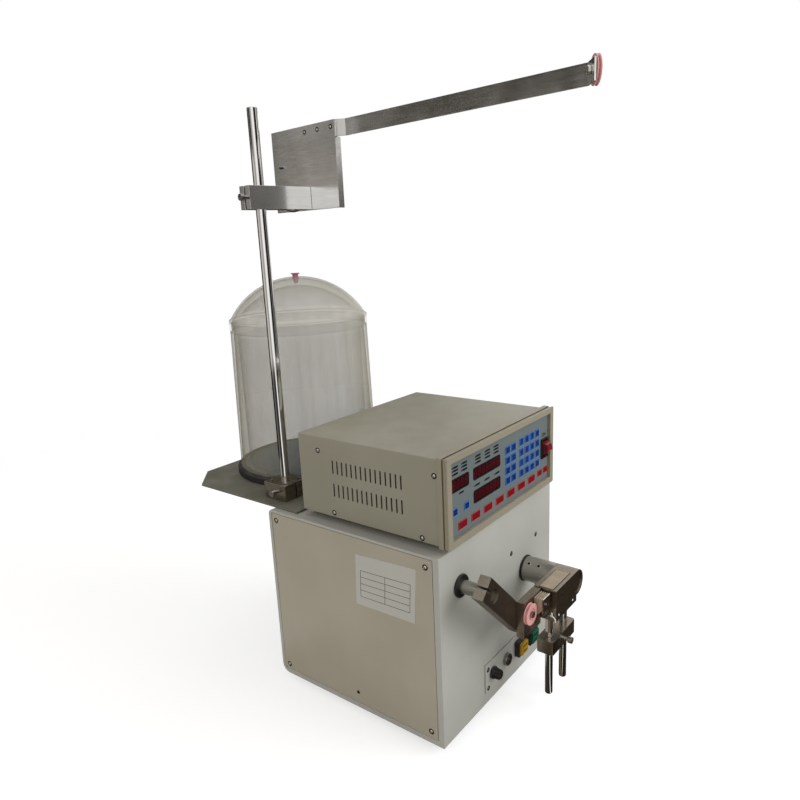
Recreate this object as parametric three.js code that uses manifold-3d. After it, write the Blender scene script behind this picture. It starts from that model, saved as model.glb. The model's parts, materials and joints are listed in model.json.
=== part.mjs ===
import * as THREE from "three";
import { mergeVertices } from "three/addons/utils/BufferGeometryUtils.js";
import Module from "manifold-3d";

// Coil winding machine: spindle cabinet, control box, wire traverse, overhead guide and wire tank.
// Millimetres. X runs right along the front, Y back, Z up, from the cabinet's lower front left corner.

// Shared clearances and counts
const seat = 0.3;
const running = 0.3;
const overrun = 4;
const weld = 0.0001;
const smallSides = 20;
const roundSides = 32;
const tankSides = 64;
const cornerSteps = 4;
const filletSteps = 6;

// Cabinet
const cabinetWidth = 343;
const cabinetDepth = 338;
const cabinetHeight = 300;
const cabinetSheet = 2;
const cabinetRearBend = 15;
const cabinetTopBend = 8;
const cabinetFrontBend = 1.5;
const panelSheet = 1.5;
const panelGap = 0.8;
const panelFrontMargin = 11;
const panelBackMargin = 7.4;
const panelBottomMargin = 9.5;
const panelTopMargin = 5;
const panelLedge = 6;
const panelBend = 2;
const footRadius = 14;
const footTipRadius = 11;
const footHeight = 12;
const footInset = 42;
const inletWidth = 48;
const inletHeight = 28;
const inletFlange = 2;
const inletBody = 20;
const inletSocketDepth = 14;
const inletWall = 4;
const inletRise = 60;
const inletInset = 70;

// Spindle
const spindleX = 250.4;
const spindleDrop = 121.2;
const spindleZ = cabinetHeight - spindleDrop;
const sleeveRadius = 20.6;
const sealRadius = 22;
const sealThickness = 3;
const sealStep = 1;
const spindleShaftRadius = 12;
const spindleShaftReach = 62;
const spindleHousingRadius = 17;
const spindleHousingReach = 48;

// Wire traverse
const traverseX = 52.8;
const traverseDrop = 62.2;
const traverseZ = cabinetHeight - traverseDrop;
const bushingRadius = 17.5;
const bushingProud = 4;
const bushingBodyRadius = 14;
const bushingReach = 46;
const traverseShaftRadius = 10;
const traverseShaftReach = 92;
const armFront = 55.7;
const armThickness = 17.7;
const armHalfWidth = 17.3;
const armClampOverhang = 28;
const armBehindBar = 36;
const armSlit = 3;
const armScrewRadius = 3.5;
const armScrewDepth = 9;
const armShaftSetback = 5;
const guideBarLeft = 114.5;
const guideBarDrop = 37.3;
const guideBarBottom = spindleZ - guideBarDrop;
const guideBarThickness = 13;
const toolGap = 3;
const pulleyRadius = 16.5;
const pulleyThickness = 6;
const pulleyFlangeEdge = 1.2;
const pulleyGrooveDepth = 3.2;
const pulleyRecess = 1.4;
const pulleyRecessRadius = 9;
const pulleyBore = 3.3;
const axleRadius = 3;
const axleHeadRadius = 5;
const axleHeadHeight = 3.5;
const axleSocketRadius = 2.2;
const axleSocketDepth = 2;
const guidePulleyAcross = 12;
const guidePulleyDrop = 20.5;
const padLength = 23.5;
const padHeight = 27;
const padDrop = 3.4;
const padReach = 13;
const padInset = 0.5;
const padGrooveCount = 3;
const padGrooveDepth = 1.6;
const padGrooveWidth = 1.6;
const padToe = 9;

// Winding tool on the spindle
const toolLength = 79.4;
const toolLowering = 30.3;
const toolHeelReach = 4;
const toolThickness = 37;
const toolSetback = 56;
const toolFaceRecess = 1.6;
const toolFaceRecessRadius = 16.5;
const coverStart = 3;
const coverLength = 60;
const coverProud = 0.8;
const coverDepth = 4;
const coverWidth = 22;
const coverFront = 7.5;
const coverGap = 1.2;
const rodRadius = 6;
const rodLeftAcross = 69.4;
const rodRightAcross = 18.4;
const rodDepth = 77;
const rodBottom = 14.5;
const rodRounding = 2.5;
const rodSocketDepth = 22;
const setScrewRadius = 2.5;
const setScrewDepth = 3;
const setScrewRise = 8;

// Lower block on the rods
const lowerLeft = 165;
const lowerRight = 247;
const lowerDrop = 56;
const lowerBottom = spindleZ - toolLowering - lowerDrop;
const lowerHeight = 23;
const lowerFront = 91;
const lowerThickness = 28;
const lowerEdge = 4;
const capShankRadius = 3;
const capShankOut = 7;
const capHeadRadius = 5.2;
const capHeadHeight = 6.5;
const capGrip = 14;
const lowerScrewAcross = 44.4;
const lowerScrewRise = 10;

// Base plate, pillar and bracket
const plateLeft = 9.8;
const plateSide = 5;
const plateOverlap = 57.4;
const plateFront = cabinetDepth - plateOverlap;
const plateDepth = 297.9;
const plateThickness = 3.3;
const plateChamfer = 51;
const pillarX = 54;
const pillarSetback = 70.5;
const pillarY = plateFront + pillarSetback;
const pillarRadius = 8;
const pillarRise = 622;
const pillarTop = cabinetHeight + pillarRise;
const pillarTopEdge = 1.5;
const pillarBlockWidth = 50.2;
const pillarBlockDepth = 51;
const pillarBlockHeight = 28;
const pillarSlit = 2.5;
const pillarBoltInset = 8;
const pillarBoltRadius = 4;
const pillarBoltDepth = 5;
const pillarScrewForward = 13;
const pillarScrewRise = 19;
const pillarScrewOut = 13;
const bracketTurn = THREE.MathUtils.degToRad(6.47);
const bracketRise = 474;
const bracketBottom = cabinetHeight + bracketRise;
const bracketBarHeight = 35;
const bracketBarBack = 27;
const bracketBarReach = 90.4;
const bracketBarDepth = 26;
const bracketSlit = 3;
const bracketScrewOut = 9;
const guidePlateThickness = 3.4;
const guidePlateFront = 80.6;
const guidePlateBack = 81.4;
const guidePlateHeight = 129.4;
const guidePlateLowering = 1.2;
const guidePlateFlange = 11;
const guideArmHeight = 24.3;
const guideArmThickness = 2.5;
const guideArmJoggle = 7.5;
const guideArmJoggleStart = 2.4;
const guideArmJoggleLength = 10;
const guideArmReach = 499.5;
const guideArmRear = 5;
const guideTabLength = 26;
const tipPulleyAlong = 13;
const tipPulleyRise = 1.5;
const tipPulleyThickness = 5;

// Wire tank
const tankX = 200.4;
const tankSetback = 160.2;
const tankY = plateFront + tankSetback;
const tankBaseRadius = 136.4;
const tankBaseHeight = 13.7;
const tankBaseEdge = 3;
const tankBaseFloor = 4;
const tankBaseRim = 9;
const feltRadius = 122;
const feltThickness = 2.2;
const tankFootRadius = 130;
const tankShoulderRadius = 125.4;
const tankWall = 3;
const tankShoulderRise = 269.7;
const tankShoulderZ = cabinetHeight + tankShoulderRise;
const tankNeckStep = 2.9;
const tankNeckHeight = 16.4;
const lidSkirtRadius = 126.3;
const lidSkirtGap = 0.45;
const lidSkirtRise = 290.5;
const lidSkirtTop = cabinetHeight + lidSkirtRise;
const lidDomeRadius = 142;
const lidRise = 363;
const lidTop = cabinetHeight + lidRise;
const lidRingSteps = 9;
const eyeletRadius = 8;
const eyeletNeckRadius = 5.4;
const eyeletHoleRadius = 1.9;
const eyeletFlange = 2;
const eyeletProud = 5.5;

// Control box
const caseLeft = 15;
const caseWidth = 312.6;
const caseFront = 6.5;
const caseClearBehind = 12.1;
const caseDepth = plateFront - caseFront - caseClearBehind;
const caseLift = 10.5;
const caseBottom = cabinetHeight + caseLift;
const caseHeight = 126.2;
const caseSheet = 1.6;
const caseBend = 2;
const ventCount = 15;
const ventStart = 68.5;
const ventPitch = 9.25;
const ventWidth = 2.7;
const ventUpperRise = 71;
const ventLowerRise = 34.2;
const ventHeight = 21;
const caseFootRadius = 9;
const caseFootInset = 30;
const rearPanelSheet = 2;
const rearPanelInset = 2.5;
const plugRadius = 12;
const plugLength = 9;
const plugHoleRadius = 8;
const plugHoleDepth = 6;
const plugSpacing = 60;
const bezelOutset = 3.7;
const bezelRise = 3.3;
const bezelDrop = 2;
const bezelRidgeBack = 0.3;
const bezelRidgeFront = 2;
const bezelGrooveFront = 8;
const bezelLipFront = 11;
const bezelGroove = 1.6;
const bezelMargin = 10.7;
const bezelTopMargin = 9.5;
const bezelLedge = 3;
const membraneFront = 6;
const membraneThickness = 2;
const membraneGap = 0.4;
const windowDepth = 1;
const windowCorner = 3;
const keyProud = 0.8;
const keyCorner = 1.2;
const keyCornerSteps = 1;
const windowPlaces = {
  display_count: { x: 27, width: 45, rise: 75.1, height: 19.5 },
  display_upper: { x: 83.3, width: 76, rise: 76.4, height: 18.2 },
  display_lower: { x: 83.3, width: 76, rise: 41.8, height: 19.3 },
};
const numberKeys = { x: 219.2, rise: 37.6, columns: 4, rows: 4, pitchX: 18, pitchZ: 17, width: 14.5, height: 13.4 };
const functionKeys = { x: 174.8, rise: 38.9, columns: 2, rows: 4, pitchX: 18.2, pitchZ: 16.2, width: 15.5, height: 13.2 };
const shiftKeys = { x: 28.5, rise: 41, columns: 2, rows: 1, pitchX: 29.6, pitchZ: 16, width: 13, height: 11.5 };
const commandKeys = { x: 41.7, rise: 17, columns: 7, rows: 1, pitchX: 34.5, pitchZ: 16, width: 23.5, height: 12 };
const statusKeys = { x: 282, rise: 19, columns: 2, rows: 1, pitchX: 20.5, pitchZ: 16, width: 16, height: 11 };
const rockerX = 294;
const rockerRise = 47.2;
const rockerZ = caseBottom + rockerRise;
const rockerWidth = 22;
const rockerHeight = 33.4;
const rockerFlange = 2.6;
const rockerRim = 2.4;
const rockerBodyDepth = 12;
const rockerBodyInset = 1.5;
const rockerSideGap = 0.4;
const rockerPaddleReach = 9;
const rockerRest = THREE.MathUtils.degToRad(-12);
const rockerBaseHalf = 10.6;
const rockerPaddleHalf = 5;
const rockerShoulder = 2;
const rockerTail = 5;

// Control strip
const stripLeft = 114.5;
const stripWidth = 182;
const stripBottom = 20.7;
const stripHeight = 49.8;
const stripThickness = 1.7;
const knobX = 136.4;
const knobZ = 48;
const knobRadius = 10;
const knobTipRadius = 7.6;
const knobLength = 14.5;
const knobSkirt = 3.5;
const knobStemRadius = 3;
const knobStemReach = 8;
const knobFluteCount = 10;
const knobFluteDepth = 0.9;
const knobFluteWidth = 2.2;
const socketX = 180;
const socketZ = 47;
const socketRadius = 10.4;
const socketLength = 6;
const socketEdge = 1.2;
const socketBoreRadius = 6.5;
const socketBoreDepth = 4.5;
const buttonWidth = 28;
const buttonHeight = 26;
const buttonLeft = { yellow: 208, green: 248 };
const buttonBottom = 35.5;
const buttonHousingDepth = 9;
const buttonWall = 1.6;
const buttonFloor = 1.8;
const buttonGap = 0.4;
const buttonProud = 3.6;
const buttonTravel = 3;
const buttonFaceInset = 2;

const wasm = await Module();
wasm.setup();

// A geometry as a solid, facing out.
function toSolid(geometry) {
  const flat = geometry.index ? geometry.toNonIndexed() : geometry;
  const bare = new THREE.BufferGeometry();
  bare.setAttribute("position", flat.getAttribute("position"));
  const merged = mergeVertices(bare, weld);
  const corners = [];
  const index = merged.index.array;
  for (let i = 0; i < index.length; i += 3) {
    const [a, b, c] = [index[i], index[i + 1], index[i + 2]];
    if (a !== b && b !== c && a !== c) corners.push(a, b, c);
  }
  const build = (order) =>
    new wasm.Manifold(
      new wasm.Mesh({
        numProp: 3,
        vertProperties: merged.getAttribute("position").array,
        triVerts: new Uint32Array(order),
      }),
    );
  const solid = build(corners);
  return solid.volume() < 0 ? build(corners.reverse()) : solid;
}

function fromSolid(solid) {
  const mesh = solid.getMesh();
  const geometry = new THREE.BufferGeometry();
  geometry.setAttribute("position", new THREE.BufferAttribute(new Float32Array(mesh.vertProperties), 3));
  geometry.setIndex(new THREE.BufferAttribute(new Uint32Array(mesh.triVerts), 1));
  return geometry;
}

function cut(base, tools) {
  return fromSolid(tools.reduce((solid, tool) => solid.subtract(toSolid(tool)), toSolid(base)));
}

function join(pieces) {
  return fromSolid(wasm.Manifold.union(pieces.map(toSolid)));
}

function clean(geometry) {
  return fromSolid(toSolid(geometry));
}

function box([x0, x1], [y0, y1], [z0, z1]) {
  const geometry = new THREE.BoxGeometry(x1 - x0, y1 - y0, z1 - z0);
  geometry.translate((x0 + x1) / 2, (y0 + y1) / 2, (z0 + z1) / 2);
  return geometry;
}

// Stands a piece made about the Y axis on another axis, through the point (a, b) of the plane across it.
function standOn(geometry, axis, a, b) {
  if (axis === "y") geometry.translate(a, 0, b);
  if (axis === "z") {
    geometry.rotateX(Math.PI / 2);
    geometry.translate(a, b, 0);
  }
  if (axis === "x") {
    geometry.rotateZ(-Math.PI / 2);
    geometry.translate(0, a, b);
  }
  return geometry;
}

function cylinder(axis, radius, [from, to], a, b, sides = roundSides) {
  const geometry = new THREE.CylinderGeometry(radius, radius, to - from, sides);
  geometry.translate(0, (from + to) / 2, 0);
  return standOn(geometry, axis, a, b);
}

// A turned piece: the profile holds [radius, place along the axis].
function turned(axis, profile, a, b, sides = roundSides) {
  const points = profile.map(([r, t]) => new THREE.Vector2(r, t));
  return clean(standOn(new THREE.LatheGeometry(points, sides), axis, a, b));
}

function outline(points) {
  return new THREE.Shape(points.map(([a, b]) => new THREE.Vector2(a, b)));
}

// A flat outline drawn across an axis and pushed along it.
function prism(axis, points, [from, to]) {
  const geometry = new THREE.ExtrudeGeometry(outline(points), { depth: to - from, bevelEnabled: false });
  if (axis === "z") geometry.translate(0, 0, from);
  if (axis === "y") {
    geometry.rotateX(Math.PI / 2);
    geometry.translate(0, to, 0);
  }
  if (axis === "x") {
    const turn = new THREE.Matrix4().makeBasis(
      new THREE.Vector3(0, 1, 0),
      new THREE.Vector3(0, 0, 1),
      new THREE.Vector3(1, 0, 0),
    );
    geometry.applyMatrix4(turn);
    geometry.translate(from, 0, 0);
  }
  return clean(geometry);
}

// A rectangle with its own radius at each corner: lower left, lower right, upper right, upper left.
function rounded([a0, a1], [b0, b1], radii, steps = cornerSteps) {
  const corners = [
    [a0, b0, 1, 1, Math.PI],
    [a1, b0, -1, 1, -Math.PI / 2],
    [a1, b1, -1, -1, 0],
    [a0, b1, 1, -1, Math.PI / 2],
  ];
  return corners.flatMap(([a, b, inA, inB, start], i) => {
    const r = radii[i];
    if (!r) return [[a, b]];
    return Array.from({ length: steps + 1 }, (_, k) => {
      const angle = start + (k / steps) * (Math.PI / 2);
      return [a + r * (inA + Math.cos(angle)), b + r * (inB + Math.sin(angle))];
    });
  });
}

function mesh(name, geometry, look) {
  const [color, metalness, roughness] = look;
  const made = new THREE.Mesh(geometry, new THREE.MeshStandardMaterial({ color, metalness, roughness }));
  made.name = name;
  return made;
}

const looks = {
  cabinetPaint: [0xc9c6bd, 0, 0.5],
  casePaint: [0xa5a292, 0, 0.5],
  bezelPlastic: [0xb4ab97, 0, 0.5],
  membrane: [0x76807e, 0, 0.5],
  platePaint: [0x77786c, 0, 0.5],
  blackPlastic: [0x101010, 0, 0.5],
  rubber: [0x1b1b1b, 0, 0.9],
  chrome: [0xe0e0e0, 1, 0.1],
  steel: [0x9a9893, 1, 0.3],
  nickel: [0x8f877c, 1, 0.25],
  ceramic: [0xf0a0a0, 0, 0.3],
  khaki: [0x9b8f78, 0, 0.6],
  felt: [0x4f5a60, 0, 1],
  tank: [0xbab8b0, 0, 0.3],
  display: [0x35090c, 0, 0.2],
  red: [0xa01018, 0, 0.4],
  yellow: [0xc8a020, 0, 0.4],
  green: [0x0e7a55, 0, 0.4],
};

// A cap screw: shank, head and hex socket along an axis, its head away from the piece it enters.
function capScrew(axis, a, b, tip, headBack, headFront, side) {
  const shank = [Math.min(tip, headFront), Math.max(tip, headFront)];
  const head = [Math.min(headBack, headFront), Math.max(headBack, headFront)];
  const socketEnd = headFront - side * axleSocketDepth;
  const socketMouth = headFront + side * overrun;
  const socket = [Math.min(socketEnd, socketMouth), Math.max(socketEnd, socketMouth)];
  const body = join([
    cylinder(axis, capShankRadius, shank, a, b, smallSides),
    cylinder(axis, capHeadRadius, head, a, b, smallSides),
  ]);
  return cut(body, [cylinder(axis, axleSocketRadius, socket, a, b, cornerSteps + 2)]);
}

// A grooved ceramic pulley about an axis, between two places along it.
function groovedPulley(axis, [from, to], a, b) {
  const middle = (from + to) / 2;
  const bottom = pulleyRadius - pulleyGrooveDepth;
  const profile = [
    [pulleyBore, from + pulleyRecess],
    [pulleyRecessRadius, from + pulleyRecess],
    [pulleyRecessRadius, from],
    [pulleyRadius, from],
    [pulleyRadius, from + pulleyFlangeEdge],
    [bottom, middle],
    [pulleyRadius, to - pulleyFlangeEdge],
    [pulleyRadius, to],
    [pulleyRecessRadius, to],
    [pulleyRecessRadius, to - pulleyRecess],
    [pulleyBore, to - pulleyRecess],
    [pulleyBore, from + pulleyRecess],
  ];
  return turned(axis, profile, a, b);
}

const machine = new THREE.Group();
const add = (name, geometry, look) => machine.add(mesh(name, geometry, look));

// Cabinet shell: one folded wrap with inset side panels on ledges
const shellSide = panelSheet + seat + cabinetSheet;
const panelY = [panelFrontMargin, cabinetDepth - panelBackMargin];
const panelZ = [panelBottomMargin, cabinetHeight - panelTopMargin];
const grow = ([a, b], by) => [a - by, b + by];
const bends = [cabinetFrontBend, cabinetRearBend, cabinetTopBend, cabinetFrontBend];
const innerBends = bends.map((r) => Math.max(r - cabinetSheet, 0));
const shellOutline = rounded([0, cabinetDepth], [0, cabinetHeight], bends, filletSteps);
const cavityOutline = rounded(
  [cabinetSheet, cabinetDepth - cabinetSheet],
  [cabinetSheet, cabinetHeight - cabinetSheet],
  innerBends,
  filletSteps,
);
const panelCorners = Array(bends.length).fill(panelBend);
const panelOpening = rounded(grow(panelY, panelGap), grow(panelZ, panelGap), panelCorners);
const ledgeOpening = rounded(grow(panelY, -panelLedge), grow(panelZ, -panelLedge), panelCorners);
const inletX = cabinetWidth - inletInset;
const shell = cut(prism("x", shellOutline, [0, cabinetWidth]), [
  prism("x", cavityOutline, [shellSide, cabinetWidth - shellSide]),
  prism("x", panelOpening, [-overrun, panelSheet + seat]),
  prism("x", panelOpening, [cabinetWidth - panelSheet - seat, cabinetWidth + overrun]),
  prism("x", ledgeOpening, [-overrun, cabinetWidth + overrun]),
  cylinder("y", spindleHousingRadius + seat, [-overrun, cabinetSheet + overrun], spindleX, spindleZ),
  cylinder("y", bushingBodyRadius + seat, [-overrun, cabinetSheet + overrun], traverseX, traverseZ),
  cylinder("y", knobStemRadius + seat, [-overrun, cabinetSheet + overrun], knobX, knobZ, smallSides),
  box(
    grow([inletX - inletWidth / 2, inletX + inletWidth / 2], seat - inletWall),
    [cabinetDepth - cabinetSheet - overrun, cabinetDepth + overrun],
    grow([inletRise - inletHeight / 2, inletRise + inletHeight / 2], seat - inletWall),
  ),
]);
add("cabinet_shell", shell, looks.cabinetPaint);

const panelOutline = rounded(panelY, panelZ, panelCorners);
add("side_panel_left", prism("x", panelOutline, [0, panelSheet]), looks.cabinetPaint);
add(
  "side_panel_right",
  prism("x", panelOutline, [cabinetWidth - panelSheet, cabinetWidth]),
  looks.cabinetPaint,
);

const footPlaces = {
  foot_front_left: [footInset, footInset],
  foot_front_right: [cabinetWidth - footInset, footInset],
  foot_rear_left: [footInset, cabinetDepth - footInset],
  foot_rear_right: [cabinetWidth - footInset, cabinetDepth - footInset],
};
for (const [name, [x, y]] of Object.entries(footPlaces)) {
  const profile = [
    [0, -footHeight],
    [footTipRadius, -footHeight],
    [footRadius, -seat],
    [0, -seat],
  ];
  add(name, turned("z", profile, x, y, smallSides), looks.rubber);
}

const inletSpanX = [inletX - inletWidth / 2, inletX + inletWidth / 2];
const inletSpanZ = [inletRise - inletHeight / 2, inletRise + inletHeight / 2];
const inlet = cut(
  join([
    box(inletSpanX, [cabinetDepth + seat, cabinetDepth + seat + inletFlange], inletSpanZ),
    box(
      grow(inletSpanX, -inletWall),
      [cabinetDepth - inletBody, cabinetDepth + seat + inletFlange],
      grow(inletSpanZ, -inletWall),
    ),
  ]),
  [
    box(
      grow(inletSpanX, -inletWall * 2),
      [cabinetDepth + seat + inletFlange - inletSocketDepth, cabinetDepth + overrun],
      grow(inletSpanZ, -inletWall * 2),
    ),
  ],
);
add("power_inlet", inlet, looks.blackPlastic);

// Spindle housing with its dark seal, and the traverse bushing
const spindleBushing = turned(
  "y",
  [
    [spindleShaftRadius + running, -seat - sealThickness],
    [sealRadius - sealStep, -seat - sealThickness],
    [sealRadius, -seat - sealThickness + sealStep],
    [sealRadius, -seat],
    [spindleHousingRadius, -seat],
    [spindleHousingRadius, spindleHousingReach],
    [spindleShaftRadius + running, spindleHousingReach],
    [spindleShaftRadius + running, -seat - sealThickness],
  ],
  spindleX,
  spindleZ,
);
add("spindle_bushing", spindleBushing, looks.blackPlastic);

const traverseBushing = turned(
  "y",
  [
    [traverseShaftRadius + running, -bushingProud],
    [bushingRadius - sealStep, -bushingProud],
    [bushingRadius, -bushingProud + sealStep],
    [bushingRadius, -seat],
    [bushingBodyRadius, -seat],
    [bushingBodyRadius, bushingReach],
    [traverseShaftRadius + running, bushingReach],
    [traverseShaftRadius + running, -bushingProud],
  ],
  traverseX,
  traverseZ,
);
add("traverse_bushing", traverseBushing, looks.blackPlastic);

// Traverse: shaft, split clamp arm, guide bar, wire pad and pulley
add(
  "traverse_shaft",
  cylinder("y", traverseShaftRadius, [armShaftSetback - armFront, traverseShaftReach], traverseX, traverseZ),
  looks.chrome,
);

const diagonal = Math.SQRT1_2;
// A place on the arm: u runs down to the right from the shaft, v across it, up to the right.
const onArm = (u, v) => [traverseX + (u + v) * diagonal, traverseZ + (v - u) * diagonal];
const armBack = armFront - armThickness;
const armRight = guideBarLeft + armBehindBar;
const armSum = traverseX + traverseZ;
const armEdge = armHalfWidth / diagonal;
const armOutline = [
  onArm(-armClampOverhang, -armHalfWidth),
  [armSum - armEdge - guideBarBottom, guideBarBottom],
  [armRight, guideBarBottom],
  [armRight, armSum + armEdge - armRight],
  onArm(-armClampOverhang, armHalfWidth),
];
const slitOutline = [
  onArm(-armClampOverhang - overrun, -armSlit / 2),
  onArm(0, -armSlit / 2),
  onArm(0, armSlit / 2),
  onArm(-armClampOverhang - overrun, armSlit / 2),
];
const armScrewAlong = -(armClampOverhang + traverseShaftRadius) / 2;
const armScrewFar = onArm(armScrewAlong, armHalfWidth - armScrewDepth);
const armScrewHole = new THREE.CylinderGeometry(
  armScrewRadius,
  armScrewRadius,
  armScrewDepth + overrun,
  smallSides,
);
armScrewHole.translate(0, (armScrewDepth + overrun) / 2, 0);
armScrewHole.rotateX(Math.PI / 2);
armScrewHole.rotateY(Math.PI / 4);
armScrewHole.translate(armScrewFar[0], -armFront + armThickness / 2, armScrewFar[1]);
const traverseArm = cut(prism("y", armOutline, [-armFront, -armBack]), [
  cylinder("y", traverseShaftRadius + running, [-armFront - overrun, overrun], traverseX, traverseZ),
  prism("y", slitOutline, [-armFront - overrun, overrun]),
  armScrewHole,
]);
add("traverse_arm", traverseArm, looks.nickel);

const toolLeft = spindleX - toolLength;
const toolTop = spindleZ + sleeveRadius;
const barBack = -toolSetback;
const barFront = barBack - guideBarThickness;
const guideBarRight = toolLeft - toolGap;
const pulleyX = guideBarLeft + guidePulleyAcross;
const pulleyZ = toolTop - guidePulleyDrop;
const guideBar = cut(
  box([guideBarLeft, guideBarRight], [barFront, barBack], [guideBarBottom, toolTop]),
  [
    cylinder("y", axleRadius + running, [barFront - overrun, barFront + capGrip / 2], pulleyX, pulleyZ, smallSides),
  ],
);
add("guide_bar", guideBar, looks.nickel);

const pulleySpan = [barFront - running * 2 - pulleyThickness, barFront - running * 2];
add("guide_pulley", groovedPulley("y", pulleySpan, pulleyX, pulleyZ), looks.ceramic);

const axleFront = pulleySpan[0] + pulleyRecess - running;
const guideAxle = cut(
  join([
    cylinder("y", axleRadius, [axleFront - axleHeadHeight, barFront + capGrip / 2 - seat], pulleyX, pulleyZ, smallSides),
    cylinder("y", axleHeadRadius, [axleFront - axleHeadHeight, axleFront], pulleyX, pulleyZ, smallSides),
  ]),
  [
    cylinder(
      "y",
      axleSocketRadius,
      [axleFront - axleHeadHeight - overrun, axleFront - axleHeadHeight + axleSocketDepth],
      pulleyX,
      pulleyZ,
      cornerSteps + 2,
    ),
  ],
);
add("guide_axle", guideAxle, looks.chrome);

const padRight = guideBarRight - padInset;
const padTop = toolTop - padDrop;
const padBack = barFront - seat;
const padOutline = [
  [padBack, padTop - padHeight],
  [padBack, padTop],
  [padBack - padReach, padTop],
  [padBack - padReach, padTop - padHeight + padToe],
  [padBack - padReach + padToe / 2, padTop - padHeight + padToe / 3],
  [padBack - padReach + padToe, padTop - padHeight],
];
const padPitch = padReach / (padGrooveCount + 1);
const padGrooves = Array.from({ length: padGrooveCount }, (_, i) => {
  const y = padBack - padPitch * (i + 1);
  return box(
    [padRight - padLength - overrun, padRight + overrun],
    [y - padGrooveWidth / 2, y + padGrooveWidth / 2],
    [padTop - padGrooveDepth, padTop + overrun],
  );
});
add(
  "wire_pad",
  cut(prism("x", padOutline, [padRight - padLength, padRight]), padGrooves),
  looks.khaki,
);

// Spindle sleeve with its shaft, and the winding tool that hangs from it
const sleeveBack = -seat - sealThickness - running;
const sleeve = turned(
  "y",
  [
    [0, -toolSetback + seat],
    [sleeveRadius, -toolSetback + seat],
    [sleeveRadius, sleeveBack],
    [spindleShaftRadius, sleeveBack],
    [spindleShaftRadius, spindleShaftReach],
    [0, spindleShaftReach],
  ],
  spindleX,
  spindleZ,
);
add("spindle_sleeve", sleeve, looks.nickel);

const toolFront = -toolSetback - toolThickness;
const toolSpan = [toolFront, -toolSetback];
const toolBottom = spindleZ - toolLowering;
const toolHeel = spindleX - toolHeelReach;
const rodLeftX = spindleX - rodLeftAcross;
const rodRightX = spindleX - rodRightAcross;
const rodTop = toolBottom + rodSocketDepth;
const coverX = [toolLeft + coverStart, toolLeft + coverStart + coverLength];
const coverY = [toolFront + coverFront, toolFront + coverFront + coverWidth];
const setScrewPlaces = [
  [rodLeftX, toolBottom + setScrewRise],
  [rodRightX, toolBottom + setScrewRise],
];
const toolBlock = cut(
  join([
    box([toolLeft, toolHeel], toolSpan, [toolBottom, spindleZ]),
    box([toolLeft, spindleX], toolSpan, [spindleZ - overrun, toolTop]),
    cylinder("y", sleeveRadius, toolSpan, spindleX, spindleZ, roundSides * 2),
  ]),
  [
    cylinder("y", toolFaceRecessRadius, [toolFront - overrun, toolFront + toolFaceRecess], spindleX, spindleZ),
    box(grow(coverX, coverGap), grow(coverY, coverGap), [toolTop - coverDepth, toolTop + overrun]),
    cylinder("z", rodRadius + running, [toolBottom - overrun, rodTop + seat], rodLeftX, -rodDepth),
    cylinder("z", rodRadius + running, [toolBottom - overrun, rodTop + seat], rodRightX, -rodDepth),
    ...setScrewPlaces.map(([x, z]) =>
      cylinder("y", setScrewRadius, [toolFront - overrun, toolFront + setScrewDepth], x, z, smallSides),
    ),
  ],
);
add("tool_block", toolBlock, looks.nickel);
add(
  "tool_cover",
  box(coverX, coverY, [toolTop - coverDepth + seat, toolTop + coverProud]),
  looks.khaki,
);

// A polished guide rod with a rounded foot
function guideRod(x) {
  const arc = Array.from({ length: cornerSteps + 1 }, (_, k) => {
    const angle = (k / cornerSteps) * (Math.PI / 2);
    return [
      rodRadius - rodRounding + rodRounding * Math.sin(angle),
      rodBottom + rodRounding - rodRounding * Math.cos(angle),
    ];
  });
  const profile = [[0, rodBottom], ...arc, [rodRadius, rodTop], [0, rodTop]];
  return turned("z", profile, x, -rodDepth);
}

add("rod_left", guideRod(rodLeftX), looks.chrome);
add("rod_right", guideRod(rodRightX), looks.chrome);

// Lower block that slides on the rods, with its long clamp screw
const lowerTop = lowerBottom + lowerHeight;
const lowerScrewX = spindleX - lowerScrewAcross;
const lowerScrewZ = lowerBottom + lowerScrewRise;
const lowerOutline = rounded(
  [lowerLeft, lowerRight],
  [-lowerFront, lowerThickness - lowerFront],
  [lowerEdge, lowerEdge, lowerEdge, lowerEdge],
);
const lowerBlock = cut(prism("z", lowerOutline, [lowerBottom, lowerTop]), [
  cylinder("z", rodRadius + running, [lowerBottom - overrun, lowerTop + overrun], rodLeftX, -rodDepth),
  cylinder("z", rodRadius + running, [lowerBottom - overrun, lowerTop + overrun], rodRightX, -rodDepth),
  cylinder("y", capShankRadius + running, [-lowerFront - overrun, capGrip - lowerFront], lowerScrewX, lowerScrewZ, smallSides),
]);
add("lower_block", lowerBlock, looks.nickel);
add(
  "lower_clamp_screw",
  capScrew(
    "y",
    lowerScrewX,
    lowerScrewZ,
    capGrip - lowerFront - seat,
    -lowerFront - capShankOut,
    -lowerFront - capShankOut - capHeadHeight,
    -1,
  ),
  looks.chrome,
);

// Base plate on the cabinet, with the pillar and its clamp block
const plateRight = cabinetWidth - plateSide;
const plateBack = plateFront + plateDepth;
const plateBottom = cabinetHeight + seat;
const plateTop = plateBottom + plateThickness;
const plateOutline = [
  [plateLeft, plateFront],
  [plateRight, plateFront],
  [plateRight, plateBack - plateChamfer],
  [plateRight - plateChamfer, plateBack],
  [plateLeft + plateChamfer, plateBack],
  [plateLeft, plateBack - plateChamfer],
];
add("base_plate", prism("z", plateOutline, [plateBottom, plateTop]), looks.platePaint);

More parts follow.
